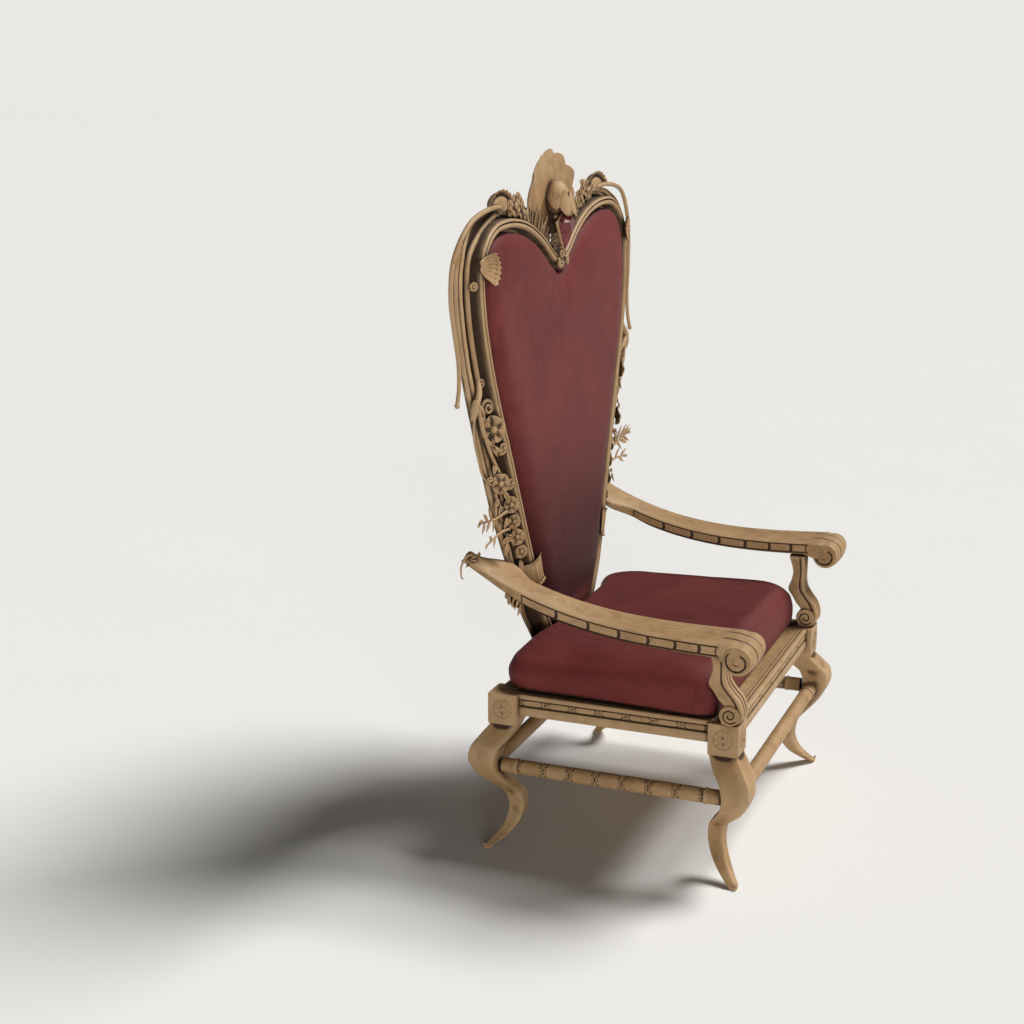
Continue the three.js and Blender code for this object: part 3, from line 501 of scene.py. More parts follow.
    def finish(self, name: str, crease: float = 42.0) -> bpy.types.Object:
        """Makes the object, in metres on the frame.

        Args:
            name: Name of the piece.
            crease: Edges sharper than this many degrees stay sharp.

        Returns:
            The new object, at the origin with its place in its mesh.
        """
        to_frame = Matrix.Scale(MM, 4) @ Matrix.Translation((0.0, drawing_shift(), 0.0))
        bmesh.ops.transform(self.mesh, matrix=to_frame, verts=self.mesh.verts)
        data = bpy.data.meshes.new(name)
        self.mesh.to_mesh(data)
        self.mesh.free()
        data.shade_smooth()
        data.set_sharp_from_angle(angle=math.radians(crease))
        piece = bpy.data.objects.new(name, data)
        bpy.context.scene.collection.objects.link(piece)
        return piece


class Signal:
    """Socket of a finish's node tree, on which sums are written as plain Python."""

    def __init__(self, bench: "Bench", socket: bpy.types.NodeSocket) -> None:
        """Wraps an output socket."""
        self.bench = bench
        self.socket = socket

    def _sum(self, operation: str, first: "Signal | float", second: "Signal | float") -> "Signal":
        """Adds one Math node."""
        made = self.bench.node("ShaderNodeMath", {"operation": operation}, {0: first, 1: second})
        return Signal(self.bench, made.outputs[0])

    def __add__(self, other: "Signal | float") -> "Signal":
        """Sum."""
        return self._sum("ADD", self, other)

    def __sub__(self, other: "Signal | float") -> "Signal":
        """Difference."""
        return self._sum("SUBTRACT", self, other)

    def __rsub__(self, other: float) -> "Signal":
        """Difference from a number."""
        return self._sum("SUBTRACT", other, self)

    def __mul__(self, other: "Signal | float") -> "Signal":
        """Product."""
        return self._sum("MULTIPLY", self, other)

    __radd__ = __add__
    __rmul__ = __mul__

    def between(self, low: float, high: float) -> "Signal":
        """Smooth step from 0 at low to 1 at high.

        Args:
            low: Value that gives 0.
            high: Value that gives 1.

        Returns:
            The step.
        """
        made = self.bench.node(
            "ShaderNodeMapRange",
            {"interpolation_type": "SMOOTHSTEP"},
            {"Value": self, "From Min": low, "From Max": high},
        )
        return Signal(self.bench, made.outputs[0])


Colour = tuple[float, float, float]


class Bench:
    """Material in the making: a node tree with one shader."""

    def __init__(self, name: str, constants: dict[str, object] | None = None) -> None:
        """Starts a material whose shader has the given constants.

        Args:
            name: Name of the material.
            constants: Values of the shader's own sockets.
        """
        self.material = bpy.data.materials.new(name)
        self.material.use_nodes = True
        self.tree = self.material.node_tree
        self.tree.nodes.clear()
        self.shader = self.node("ShaderNodeBsdfPrincipled", {}, constants or {})
        self.node("ShaderNodeOutputMaterial", {}, {"Surface": Signal(self, self.shader.outputs[0])})
        self.place = Signal(self, self.node("ShaderNodeTexCoord").outputs["Object"])

    def node(
        self,
        kind: str,
        settings: dict[str, object] | None = None,
        sockets: dict[str | int, object] | None = None,
    ) -> bpy.types.Node:
        """Adds a node.

        Args:
            kind: Type of the node.
            settings: Properties, set before the sockets.
            sockets: Values or links of its inputs, by name or number.

        Returns:
            The node.
        """
        made = self.tree.nodes.new(kind)
        for name, value in (settings or {}).items():
            setattr(made, name, value)
        for name, value in (sockets or {}).items():
            if isinstance(value, Signal):
                self.tree.links.new(value.socket, made.inputs[name])
            else:
                made.inputs[name].default_value = value
        return made

    def stretched(self, scale: Colour) -> Signal:
        """Object coordinates stretched by a scale along each axis."""
        made = self.node(
            "ShaderNodeMapping", {"vector_type": "POINT"}, {"Vector": self.place, "Scale": scale}
        )
        return Signal(self, made.outputs[0])

    def clouds(
        self,
        scale: float,
        detail: float = 4.0,
        roughness: float = 0.55,
        distortion: float = 0.0,
        where: Signal | None = None,
    ) -> Signal:
        """Noise from 0 to 1.

        Args:
            scale: Patches in a metre, roughly.
            detail: Octaves of finer noise.
            roughness: Weight of the finer noise.
            distortion: How much it swirls.
            where: Coordinates, if not the object's own.

        Returns:
            The noise.
        """
        sockets = {
            "Vector": where or self.place, "Scale": scale, "Detail": detail,
            "Roughness": roughness, "Distortion": distortion,
        }
        return Signal(self, self.node("ShaderNodeTexNoise", {"noise_dimensions": "3D"}, sockets).outputs[0])

    def cells(self, scale: float, feature: str = "F1", where: Signal | None = None) -> Signal:
        """Distance in a pattern of cells, from a cell's centre or from its edge."""
        sockets = {"Vector": where or self.place, "Scale": scale}
        return Signal(self, self.node("ShaderNodeTexVoronoi", {"feature": feature}, sockets).outputs[0])

    def warped(self, scale: float, amount: float) -> Signal:
        """Object coordinates pushed about by noise.

        Args:
            scale: Scale of the noise.
            amount: How far it pushes, in metres.

        Returns:
            The coordinates.
        """
        sockets = {"Vector": self.place, "Scale": scale, "Detail": 3.0}
        push = self.node("ShaderNodeTexNoise", {"noise_dimensions": "3D"}, sockets).outputs[1]
        scaled = self.node(
            "ShaderNodeVectorMath", {"operation": "SCALE"}, {0: Signal(self, push), "Scale": amount}
        )
        moved = self.node(
            "ShaderNodeVectorMath", {"operation": "ADD"}, {0: self.place, 1: Signal(self, scaled.outputs[0])}
        )
        return Signal(self, moved.outputs[0])

    def mark(self, name: str) -> Signal:
        """Value painted on the piece's points."""
        made = self.node("ShaderNodeAttribute", {"attribute_type": "GEOMETRY", "attribute_name": name})
        return Signal(self, made.outputs["Fac"])

    def mix(self, factor: Signal, low: Signal | Colour, high: Signal | Colour) -> Signal:
        """Colour between two colours.

        Args:
            factor: Share of the second colour.
            low: Colour at 0.
            high: Colour at 1.

        Returns:
            The mixed colour.
        """
        ready = [end if isinstance(end, Signal) else (*end, 1.0) for end in (low, high)]
        made = self.node(
            "ShaderNodeMix",
            {"data_type": "RGBA", "blend_type": "MIX"},
            {0: factor, 6: ready[0], 7: ready[1]},
        )
        return Signal(self, made.outputs[2])

    def bump(self, height: Signal, distance: float, strength: float = 1.0) -> Signal:
        """Normal that follows a height."""
        sockets = {"Height": height, "Distance": distance, "Strength": strength}
        return Signal(self, self.node("ShaderNodeBump", {}, sockets).outputs[0])

    def dress(self, **values: Signal) -> bpy.types.Material:
        """Links what varies to the shader and gives the finished material."""
        for name, value in values.items():
            self.tree.links.new(value.socket, self.shader.inputs[name.replace("_", " ")])
        return self.material


class Grain(Enum):
    """Direction in which the wood of a piece runs, as a stretch of its pattern."""

    UPRIGHT = (9.0, 9.0, 1.0)
    SIDEWAYS = (1.0, 9.0, 9.0)
    LENGTHWAYS = (9.0, 1.0, 9.0)


@dataclass(frozen=True)
class OakFinish:
    """Honey-coloured oak, brown in its hollows from grime and painted shade, with pale rubbed edges."""

    grain: Grain
    name: str
    marked: bool = True
    honey: Colour = (0.345, 0.205, 0.09)
    pale: Colour = (0.42, 0.268, 0.134)
    tan: Colour = (0.21, 0.115, 0.048)
    dirt_and_shade: Colour = (0.036, 0.019, 0.009)
    rubbed: Colour = (0.5, 0.345, 0.195)
    roughness: float = 0.56

    def material(self) -> bpy.types.Material:
        """Mottled colour, streaks along the grain, grime with painted shade in hollows, and rubbed edges.

        Returns:
            The material.
        """
        bench = Bench(self.name, {"IOR": 1.45, "Specular IOR Level": 0.38})
        along = bench.stretched(self.grain.value)
        cloud = bench.clouds(7.0, 5.0, 0.6, 0.6)
        blotch = bench.clouds(23.0, 4.0, 0.62, 0.4)
        streak = bench.clouds(26.0, 5.0, 0.6, 0.5, along)
        pores = bench.clouds(120.0, 3.0, 0.7, 0.0, along)
        base = bench.mix(cloud.between(0.36, 0.66), self.honey, self.pale)
        base = bench.mix(blotch.between(0.46, 0.7) * 0.62, base, self.tan)
        base = bench.mix(streak.between(0.46, 0.7) * 0.42, base, self.tan)
        base = bench.mix(pores.between(0.6, 0.72) * 0.22, base, self.dirt_and_shade)
        height = streak * 0.5 + pores * 0.35 + blotch * 0.6
        rough = cloud * 0.16 + (self.roughness - 0.08)
        if self.marked:
            # The mark holds grime in cuts and painted shade where nearby surfaces hide the light; it browns
            # and darkens the oak.
            dirt_and_shade = bench.mark("dirt_and_shade")
            dirt_and_shade_film = dirt_and_shade.between(0.08, 0.45) * 0.6
            base = bench.mix(dirt_and_shade_film, base, self.tan)
            soiled_and_shaded = (dirt_and_shade + (blotch - 0.5) * 0.3 * dirt_and_shade.between(0.02, 0.3)).between(0.26, 0.8)
            base = bench.mix(soiled_and_shaded * 0.96, base, self.dirt_and_shade)
            worn = bench.mark("wear") * blotch.between(0.3, 0.6)
            base = bench.mix(worn * 0.45, base, self.rubbed)
            rough = rough + soiled_and_shaded * 0.22
        return bench.dress(Base_Color=base, Roughness=rough, Normal=bench.bump(height, 0.0009, 0.45))


@dataclass(frozen=True)
class LeatherFinish:
    """Oxblood leather with dark veins, a fine grain and a dull bloom on its turns."""

    name: str = "oxblood_leather"
    red: Colour = (0.122, 0.022, 0.02)
    deep: Colour = (0.028, 0.005, 0.005)
    warm: Colour = (0.152, 0.03, 0.026)
    shadow: Colour = (0.016, 0.005, 0.005)
    low: float = 0.52
    high: float = 1.12

    def material(self) -> bpy.types.Material:
        """Mottled red with veins, painted shade low on the back where the arms and seat shade it, and
        painted shade in hollows and under other parts.

        Returns:
            The material.
        """
        bench = Bench(self.name, {
            "IOR": 1.45, "Specular IOR Level": 0.14, "Sheen Weight": 0.03,
            "Sheen Roughness": 0.5, "Sheen Tint": (0.8, 0.62, 0.66, 1.0),
        })
        cloud = bench.clouds(5.0, 4.0, 0.55, 0.8)
        veins = bench.cells(15.0, "DISTANCE_TO_EDGE", bench.warped(7.0, 0.09))
        fine = bench.cells(520.0, "F1", bench.warped(60.0, 0.004))
        wrinkle = bench.cells(70.0, "DISTANCE_TO_EDGE", bench.warped(30.0, 0.02))
        speck = bench.clouds(160.0, 3.0, 0.6)
        base = bench.mix(cloud.between(0.32, 0.68), self.red, self.warm)
        patch = bench.clouds(9.0, 3.0, 0.5).between(0.42, 0.66)
        base = bench.mix((1.0 - veins.between(0.0, 0.22)) * patch * 0.2, base, self.deep)
        base = bench.mix(speck.between(0.5, 0.75) * 0.2, base, self.deep)
        rise = self.height(bench)
        # Painted shade low on the back, darkest just above the seat and fading out upwards, where the arms
        # and seat shade the leather.
        painted_low_shade = (1.0 - rise.between(self.low, self.high)) * rise.between(0.5, 0.56) * 0.92
        base = bench.mix(painted_low_shade, base, self.deep)
        # Painted shade in hollows and where other parts hide the leather from the light, read from the
        # painted mark.
        base = bench.mix(bench.mark("dirt_and_shade").between(0.1, 0.95) * 0.85, base, self.shadow)
        height = (1.0 - fine) * 0.5 + wrinkle.between(0.0, 0.12) * 0.45 + speck * 0.2
        rough = cloud * 0.14 + speck * 0.1 + 0.48
        return bench.dress(Base_Color=base, Roughness=rough, Normal=bench.bump(height, 0.0006, 0.5))

    def height(self, bench: Bench) -> Signal:
        """Height above the floor, in metres."""
        split = bench.node("ShaderNodeSeparateXYZ", {}, {0: bench.place})
        return Signal(bench, split.outputs[2])


@dataclass(frozen=True)
class StoneFinish:
    """Cut garnet-red stone with a wet polish."""

    name: str = "red_stone"
    deep: Colour = (0.1, 0.014, 0.015)
    bright: Colour = (0.25, 0.052, 0.048)

    def material(self) -> bpy.types.Material:
        """Cloudy red under a clear polish.

        Returns:
            The material.
        """
        bench = Bench(self.name, {
            "IOR": 1.5, "Specular IOR Level": 0.3, "Coat Weight": 0.12, "Coat Roughness": 0.2,
        })
        cloud = bench.clouds(38.0, 4.0, 0.5, 1.2)
        flecks = bench.clouds(180.0, 2.0, 0.6)
        base = bench.mix(cloud.between(0.35, 0.7), self.deep, self.bright)
        rough = flecks * 0.12 + 0.36
        return bench.dress(Base_Color=base, Roughness=rough, Normal=bench.bump(cloud, 0.0004, 0.2))


@dataclass(frozen=True)
class FloorFinish:
    """Plain pale studio floor."""

    name: str = "pale_floor"
    light: Colour = (0.8, 0.79, 0.76)
    dull: Colour = (0.79, 0.78, 0.75)

    def material(self) -> bpy.types.Material:
        """Almost even off-white."""
        bench = Bench(self.name, {"Specular IOR Level": 0.1, "Roughness": 0.9})
        return bench.dress(Base_Color=bench.mix(bench.clouds(1.5, 2.0), self.light, self.dull))


class Workshop:
    """Where pieces are hung on the frame and get their finish."""

    def __init__(self) -> None:
        """Makes every finish once."""
        self.oak = {grain: OakFinish(grain, f"oak_{grain.name.lower()}").material() for grain in Grain}
        self.plain_oak = OakFinish(Grain.UPRIGHT, "oak_plain", marked=False).material()
        self.leather = LeatherFinish().material()
        self.stone = StoneFinish().material()
        self.carved: list[bpy.types.Object] = []

    def hang(
        self, piece: bpy.types.Object, finish: bpy.types.Material, slot: str, *nodes: str
    ) -> bpy.types.Object:
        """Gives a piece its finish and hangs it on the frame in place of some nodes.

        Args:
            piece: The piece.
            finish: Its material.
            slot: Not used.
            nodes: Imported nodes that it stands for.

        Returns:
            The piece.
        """
        piece.data.materials.clear()
        piece.data.materials.append(finish)
        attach(piece, "root")
        if nodes:
            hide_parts(*nodes)
        self.carved.append(piece)
        log.info("piece %s: %d faces", piece.name, len(piece.data.polygons))
        return piece

    def wood(self, carving: Carving, name: str, grain: Grain, *nodes: str, crease: float = 42.0) -> None:
        """Finishes a carving in oak and hangs it."""
        self.hang(carving.finish(name, crease), self.oak[grain], "oak", *nodes)

    def pair(self, make: Callable[[], Carving], name: str, grain: Grain, crease: float) -> None:
        """Carves a piece for the left side and its mirror image for the right.

        Args:
            make: Carves the left piece.
            name: Name of both nodes without their side.
            grain: Direction of the wood.
            crease: Edges sharper than this many degrees stay sharp.
        """
        for side in ("left", "right"):
            carving = make()
            if side == "right":
                carving.flip()
            self.wood(carving, f"carved_{name}_{side}", grain, f"{name}_{side}", crease=crease)


@dataclass
class Heart:
    """Curve of the heart-shaped back and the carved border that follows it."""

    half_width: float = 490.0
    foot: float = 438.0
    rise: float = 1053.0
    border: float = 100.0
    setback: float = 56.0
    lean: float = 0.041
    bead: float = 22.0
    channel: float = 24.0
    rail: float = 13.0
    depth: float = 36.0
    rear_bevel: float = 0.26
    notch_blend: float = 0.036
    crown: float = field(init=False)
    spline: Spline = field(init=False)

    STATIONS = (
        (0, 0.877, 0.36), (0.143, 0.915, 0.34), (0.253, 0.948, 0.35), (0.408, 0.98, 0.36),
        (0.561, 0.996, 0.38), (0.694, 1, 0.4), (0.816, 0.995, 0.47), (0.908, 0.976, 0.64),
        (0.976, 0.942, 0.86), (1, 0.899, 1), (0.99, 0.819, 1), (0.939, 0.724, 1),
        (0.865, 0.629, 1.02), (0.776, 0.534, 1.04), (0.69, 0.439, 1.04), (0.606, 0.344, 0.94),
        (0.52, 0.249, 0.78), (0.418, 0.135, 0.6), (0.306, 0.059, 0.5), (0.245, 0.021, 0.46),
        (0.163, 0.004, 0.44), (0, 0, 0.44),
    )

    def __post_init__(self) -> None:
        """Lays the curve and finds its highest point."""
        self.spline = Spline([
            (x * self.half_width, w * self.border, self.foot + z * self.rise) for x, z, w in self.STATIONS
        ])
        self.crown = max((index / 400.0 for index in range(200)), key=lambda share: self.spline.at(share).z)

    def plane(self, z: float) -> float:
        """Y of the back's plane at a height."""
        return SEAT_DEPTH / 2.0 - self.setback + self.lean * (z - SEAT_TOP)

    def edge(self, share: float) -> tuple[Vector, Vector, float]:
        """Point on the leather's edge, outward normal and border width at a share.

        Args:
            share: Share of the outline, from the notch to the foot.

        Returns:
            The point, the normal and the width.
        """
        point = self.spline.at(share)
        step = 0.002
        along = self.spline.at(min(share + step, 1.0)) - self.spline.at(max(share - step, 0.0))
        normal = Vector((-along.z, 0.0, along.x)).normalized()
        width = point.y
        square = 1.0 - clamp(share / self.notch_blend)
        if square > 0.0:
            width = lerp(width, width / max(normal.z, 0.5), square)
            normal = normal.lerp(Vector((0.0, 0.0, 1.0)), square).normalized()
        foot = clamp((share - 0.985) / 0.015)
        normal = normal.lerp(Vector((0.0, 0.0, -1.0)), foot).normalized()
        return Vector((point.x, 0.0, point.z)), normal, width

    def on(self, share: float, out: float, depth: float) -> Vector:
        """Point of the left border at a distance out and a depth behind the plane."""
        point, normal, _ = self.edge(share)
        place = point + normal * out
        return Vector((place.x, self.plane(place.z) + depth, place.z))

    def width(self, share: float) -> float:
        """Width of the border at a share."""
        return self.edge(share)[2]

    def _find(self, low: float, high: float, above: Callable[[Vector], bool]) -> float:
        """Share between low and high where a test turns from true to false.

        Args:
            low: Share at which the test is true.
            high: Share at which it is false.
            above: The test.

        Returns:
            The share.
        """
        for _ in range(24):
            middle = (low + high) / 2.0
            if above(self.spline.at(middle)):
                low = middle
            else:
                high = middle
        return (low + high) / 2.0

    def side(self, rise: float) -> float:
        """Share on the side at a share of the heart's rise."""
        return self._find(self.crown, 1.0, lambda p: p.z > self.foot + rise * self.rise)

    def lobe(self, reach: float) -> float:
        """Share on the lobe at a share of the half width."""
        return self._find(0.0, self.crown, lambda p: p.x < reach * self.half_width)

    def section(self, width: float) -> list[tuple[float, float]]:
        """Border section as distances out and depths: bead, channel and twin-stranded rail.

        Args:
            width: Width of the border.

        Returns:
            The points, from the rear of the bead outwards.
        """
        rail = self.rail * clamp((width - 50.0) / 40.0)
        free = width - self.bead
        floor = self.channel
        bead = [
            (0.0, self.depth), (0.0, 20.0), (0.0, 2.0), (0.2, -6.0), (1.4, -11.4), (4.0, -14.9),
            (7.4, -16.2), (10.4, -15.4), (12.4, -12.9), (13.6, -10.2), (14.8, -12.6),
            (16.6, -14.9), (18.8, -14.6), (20.8, -12.2), (21.8, -8.0), (22.0, 0.0), (21.4, 12.0),
            (22.2, floor),
        ]
        strands = [
            (0.2, 0.0), (0.42, -0.04), (0.5, 0.0), (0.525, 0.3), (0.55, 0.66), (0.59, 0.94), (0.65, 1.06),
            (0.71, 1.08), (0.77, 0.98), (0.815, 0.72), (0.835, 0.36), (0.855, 0.62), (0.89, 0.88),
            (0.93, 0.86), (0.965, 0.55), (0.99, 0.22),
        ]
        outer = [(self.bead + a * free, floor - b * rail) for a, b in strands]
        rear = width * (1.0 - self.rear_bevel)
        bevel = (lerp(width, rear, 0.5), (floor + self.depth) / 2.0)
        return bead + outer + [(width, floor - 1.0), bevel, (rear, self.depth)]


@dataclass
class SeatFrame:
    """Legs, rails, stretchers and the board under the seat."""

    rail_height: float = 54.0
    rail_thickness: float = 30.0
    rail_recess: float = 14.5
    bar_radius: float = 18.0
    bar_height: float = 219.0
    bar_inset: float = 7.5
    tiles: int = 7
    leg_rows: int = 72
    leg_sides: int = 40

    LEG_STATIONS = (
        (0.978, 0.03, 0.93), (0.898, 0.26, 1), (0.82, 0.49, 0.97), (0.743, 0.55, 0.93),
        (0.666, 0.49, 0.84), (0.582, 0.31, 0.74), (0.5, 0.03, 0.64), (0.433, -0.19, 0.57),
        (0.365, -0.27, 0.54), (0.294, -0.28, 0.51), (0.22, -0.2, 0.49), (0.152, -0.05, 0.46),
        (0.1, 0.12, 0.41), (0.056, 0.3, 0.35), (0.02, 0.46, 0.3), (0, 0.5, 0.22),
    )

    def build(self, shop: Workshop) -> None:
        """Carves the whole seat frame.

        Args:
            shop: Where the pieces are hung.
        """
        for name, side_x, side_y in (
            ("front_left", 1, -1), ("front_right", -1, -1), ("back_left", 1, 1), ("back_right", -1, 1)
        ):
            shop.wood(self.leg(side_x, side_y), f"carved_leg_{name}", Grain.UPRIGHT, f"leg_{name}")
        for name, side in (("left", 1), ("right", -1)):
            turn = Matrix.Rotation(math.radians(90.0 * side), 4, "Z")
            shop.wood(self.rail(SEAT_WIDTH, SEAT_DEPTH, turn), f"carved_rail_{name}",
                      Grain.LENGTHWAYS, f"seat_rail_{name}")
            shop.wood(self.bar(SEAT_WIDTH, SEAT_DEPTH, turn), f"carved_stretcher_{name}",
                      Grain.LENGTHWAYS, f"stretcher_{name}")
        for name, angle in (("front", 0.0), ("back", 180.0)):
            turn = Matrix.Rotation(math.radians(angle), 4, "Z")
            shop.wood(self.rail(SEAT_DEPTH, SEAT_WIDTH, turn), f"carved_rail_{name}",
                      Grain.SIDEWAYS, f"seat_rail_{name}")
            shop.wood(self.bar(SEAT_DEPTH, SEAT_WIDTH, turn), f"carved_stretcher_{name}",
                      Grain.SIDEWAYS, f"stretcher_{name}")
        for node in ("seat_board", "back_panel"):
            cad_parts[node].material_slots[0].material = shop.plain_oak

    def leg(self, side_x: int, side_y: int) -> Carving:
        """One cabriole leg under its square block with rosettes.

        Args:
            side_x: 1 for the left, -1 for the right.
            side_y: 1 for the back, -1 for the front.

        Returns:
            The carving.
        """
        carving = Carving()
        bottom = SEAT_TOP - BLOCK_HEIGHT
        centre_x = side_x * (SEAT_WIDTH - BLOCK_SIDE) / 2.0
        centre_y = side_y * (SEAT_DEPTH - BLOCK_SIDE) / 2.0
        curve = Spline([
            (share * 100.0, shift * 100.0, width * 100.0) for share, shift, width in self.LEG_STATIONS
        ])

        def square(z: float, shift: float, width: float, power: float) -> Ring:
            """Rounded square across the leg."""
            ring = []
            for k in range(self.leg_sides):
                angle = 2.0 * math.pi * k / self.leg_sides
                c, s = math.cos(angle), math.sin(angle)
                reach = 0.5 * width / (abs(c) ** power + abs(s) ** power) ** (1.0 / power)
                ring.append(Vector((
                    centre_x + side_x * shift + reach * c, centre_y + side_y * shift + reach * s, z
                )))
            return ring

        side = BLOCK_SIDE
        rings = [
            square(SEAT_TOP, 0.0, side - 3.0, 24.0), square(SEAT_TOP - 1.6, 0.0, side, 24.0),
            square(SEAT_TOP - 40.0, 0.0, side, 24.0), square(bottom + 3.0, 0.0, side, 24.0),
            square(bottom + 0.8, 0.0, side - 1.6, 22.0), square(bottom - 1.5, 0.0, side - 6.0, 18.0),
        ]
        for row in range(self.leg_rows + 1):
            share, shift, width = (value / 100.0 for value in curve.at(row / self.leg_rows))
            swell = 1.0 + 0.012 * noise.noise(Vector((share * 9.0, side_x * 5.0, side_y * 3.0)))
            rings.append(square(
                share * bottom, shift * BLOCK_SIDE, width * BLOCK_SIDE * swell, lerp(7.0, 13.0, share)
            ))
        carving.loft(rings)
        self.toe(carving, Vector((centre_x, centre_y, 0.0)), side_x, side_y)
        middle = SEAT_TOP - BLOCK_HEIGHT / 2.0
        for yaw, point in (
            (90.0 * side_x, Vector((centre_x + side_x * side / 2.0, centre_y, middle))),
            (0.0 if side_y < 0 else 180.0, Vector((centre_x, centre_y + side_y * side / 2.0, middle))),
        ):
            self.rosette(carving, spot(point, yaw=yaw))
        return carving

    def toe(self, carving: Carving, centre: Vector, side_x: int, side_y: int) -> None:
        """Pointed toe that turns up out of the foot.

        Args:
            carving: The leg.
            centre: Foot of the block's middle line.
            side_x: 1 for the left, -1 for the right.
            side_y: 1 for the back, -1 for the front.
        """
        reach = Vector((side_x, side_y, 0.0)) * BLOCK_SIDE
        path = [centre + reach * share + Vector((0.0, 0.0, z)) for share, z in (
            (0.4, 8.5), (0.47, 6.6), (0.53, 6.0), (0.575, 7.5), (0.6, 11.0), (0.605, 14.5))]
        curve = Spline(path).spaced(14)
        carving.tube(curve, lambda share: 6.0 * (1.0 - 0.75 * share ** 1.4), 12)

    def rosette(self, carving: Carving, stand: Matrix) -> None:
        """Shallow ring with eight petals, cut on a block's face.

        Args:
            carving: The leg.
            stand: Middle of the face.
        """
        for radius, thick in ((23.0, 1.9), (10.5, 1.3)):
            rings = []
            for step in range(40):
                angle = 2.0 * math.pi * step / 40
                point = Vector((radius * math.sin(angle), 0.2, radius * math.cos(angle)))
                outward = point.normalized() * thick
                forward = DEPTH * (0.75 * thick)
                rings.append([
                    point + outward * math.cos(a) - forward * math.sin(a)
                    for a in (2.0 * math.pi * k / 6 for k in range(6))
                ])
            carving.loft(rings, Ends.ENDLESS, stand)
        for index in range(8):
            turn = Matrix.Rotation(math.pi * index / 4.0, 4, "Y")
            place = stand @ turn @ Matrix.Translation((0.0, 0.2, 11.0))
            carving.leaf(place, 10.5, 7.5, 2.2, LeafShape.SEPAL, rows=5, sides=8)
        carving.ball(stand, 5.6, 0.4)

    def tile_groove(self, along: float, across: float) -> float:
        """Groove between pointed tiles: along counts tiles, across runs from -1 to 1.

        Args:
            along: Place along, in tiles.
            across: Place across.

        Returns:
            Depth from 0 to 1.
        """
        local = abs((along % 1.0) - 0.5)
        reach = min(abs(across), 1.0)
        cross = groove(local - (0.5 - 0.15 * reach), 0.032)
        inner = groove(local - (0.405 - 0.1 * reach), 0.024) * 0.75
        peak = groove(local - 0.5, 0.028) * ease(reach, 0.45, 0.6)
        return max(cross, inner, peak)

    def rail(self, span: float, length: float, turn: Matrix) -> Carving:
        """Rail with three bands, the middle one cut with tiles.

        Args:
            span: Size of the seat across the rail.
            length: Size of the seat along the rail.
            turn: Turn that takes the front rail to its side.

        Returns:
            The carving.
        """
        carving = Carving()
        half = length / 2.0 - BLOCK_SIDE - GAP
        face = -(span / 2.0 - self.rail_recess)
        back = face + self.rail_thickness
        middle = [(-26.5, 2.0), (-25.4, 1.3), (-23.0, 1.0), (-20.6, 0.9), (-18.2, 0.9), (-15.8, 1.0),
                  (-14.4, 1.4), (-13.6, 2.2)]
        outline = [
            (0.0, -self.rail_height), (4.0, -self.rail_height + 0.2), (1.2, -self.rail_height + 1.4),
            (0.0, -self.rail_height + 4.0), (-0.7, -42.0), (0.0, -32.6), (0.8, -31.2), (4.2, -30.6),
            (5.0, -29.4), (4.4, -27.8),
            *((depth, z) for z, depth in middle),
            (4.6, -13.0), (4.6, -11.8), (1.0, -11.2), (0.0, -10.0), (-0.6, -6.0), (0.0, -2.0),
            (1.6, -0.5), (3.4, 0.0), (9.5, 0.0), (10.3, -1.4), (12.0, -1.4), (12.8, 0.0),
            (18.5, 0.0), (19.3, -1.4), (21.0, -1.4), (21.8, 0.0),
        ]
        rows = int(2.0 * half / 2.4)
        rings = []
        stains_and_shade = []
        for row in range(rows + 1):
            x = lerp(-half, half, row / rows)
            tile = self.tiles * row / rows
            ring = [Vector((x, back, SEAT_TOP - self.rail_height)), Vector((x, back, SEAT_TOP))]
            stain_and_shade = [0.0, 0.0]
            for depth, z in reversed(outline[1:]):
                cut = 0.0
                if -26.6 < z < -13.5:
                    cut = 2.6 * self.tile_groove(tile, (z + 20.0) / 6.5)
                ring.append(Vector((x, face + depth + cut, SEAT_TOP + z)))
                line = z == -1.4 or (depth > 4.1 and -40.0 < z < -3.0)
                stain_and_shade.append(max(0.15 * cut, 1.0 if line else 0.0))
            rings.append(ring)
            stains_and_shade.append(stain_and_shade)
        carving.loft(rings, Ends.CAPPED, turn, stains_and_shade)
        return carving

    def bar(self, span: float, length: float, turn: Matrix) -> Carving:
        """Round stretcher between two legs, cut with tiles between its collars.

        Args:
            span: Size of the seat across the bar.
            length: Size of the seat along the bar.
            turn: Turn that takes the front bar to its side.

        Returns:
            The carving.
        """
        carving = Carving()
        half = length / 2.0 - BLOCK_SIDE / 2.0
        middle = -(span / 2.0 - self.bar_inset)
        around = 56
        carved = half - 42.0
        tiled = 1.0 if length < span else 0.3
        rows = int(2.0 * half / 2.6)
        rings = []
        stains_and_shade = []
        for row in range(rows + 1):
            x = lerp(-half, half, row / rows)
            tile = self.tiles * (x + carved) / (2.0 * carved)
            inside = ease(carved - abs(x), -1.0, 3.0)
            collar = 2.0 * groove(abs(x) - carved - 5.0, 5.0)
            line = 1.5 * groove(abs(x) - carved + 1.0, 2.2)
            ring = []
            stain_and_shade = []
            for k in range(around):
                angle = 2.0 * math.pi * k / around
                sector = ((angle / math.pi + 0.44) % 1.0) * 2.0 - 1.0
                cut = 2.2 * inside * tiled * self.tile_groove(tile, sector) + line
                radius = self.bar_radius - cut + collar
                ring.append(Vector((
                    x, middle - radius * math.cos(angle), self.bar_height + radius * math.sin(angle)
                )))
                stain_and_shade.append(clamp(0.22 * cut))
            rings.append(ring)
            stains_and_shade.append(stain_and_shade)
        carving.loft(rings, Ends.CAPPED, turn, stains_and_shade)
        return carving


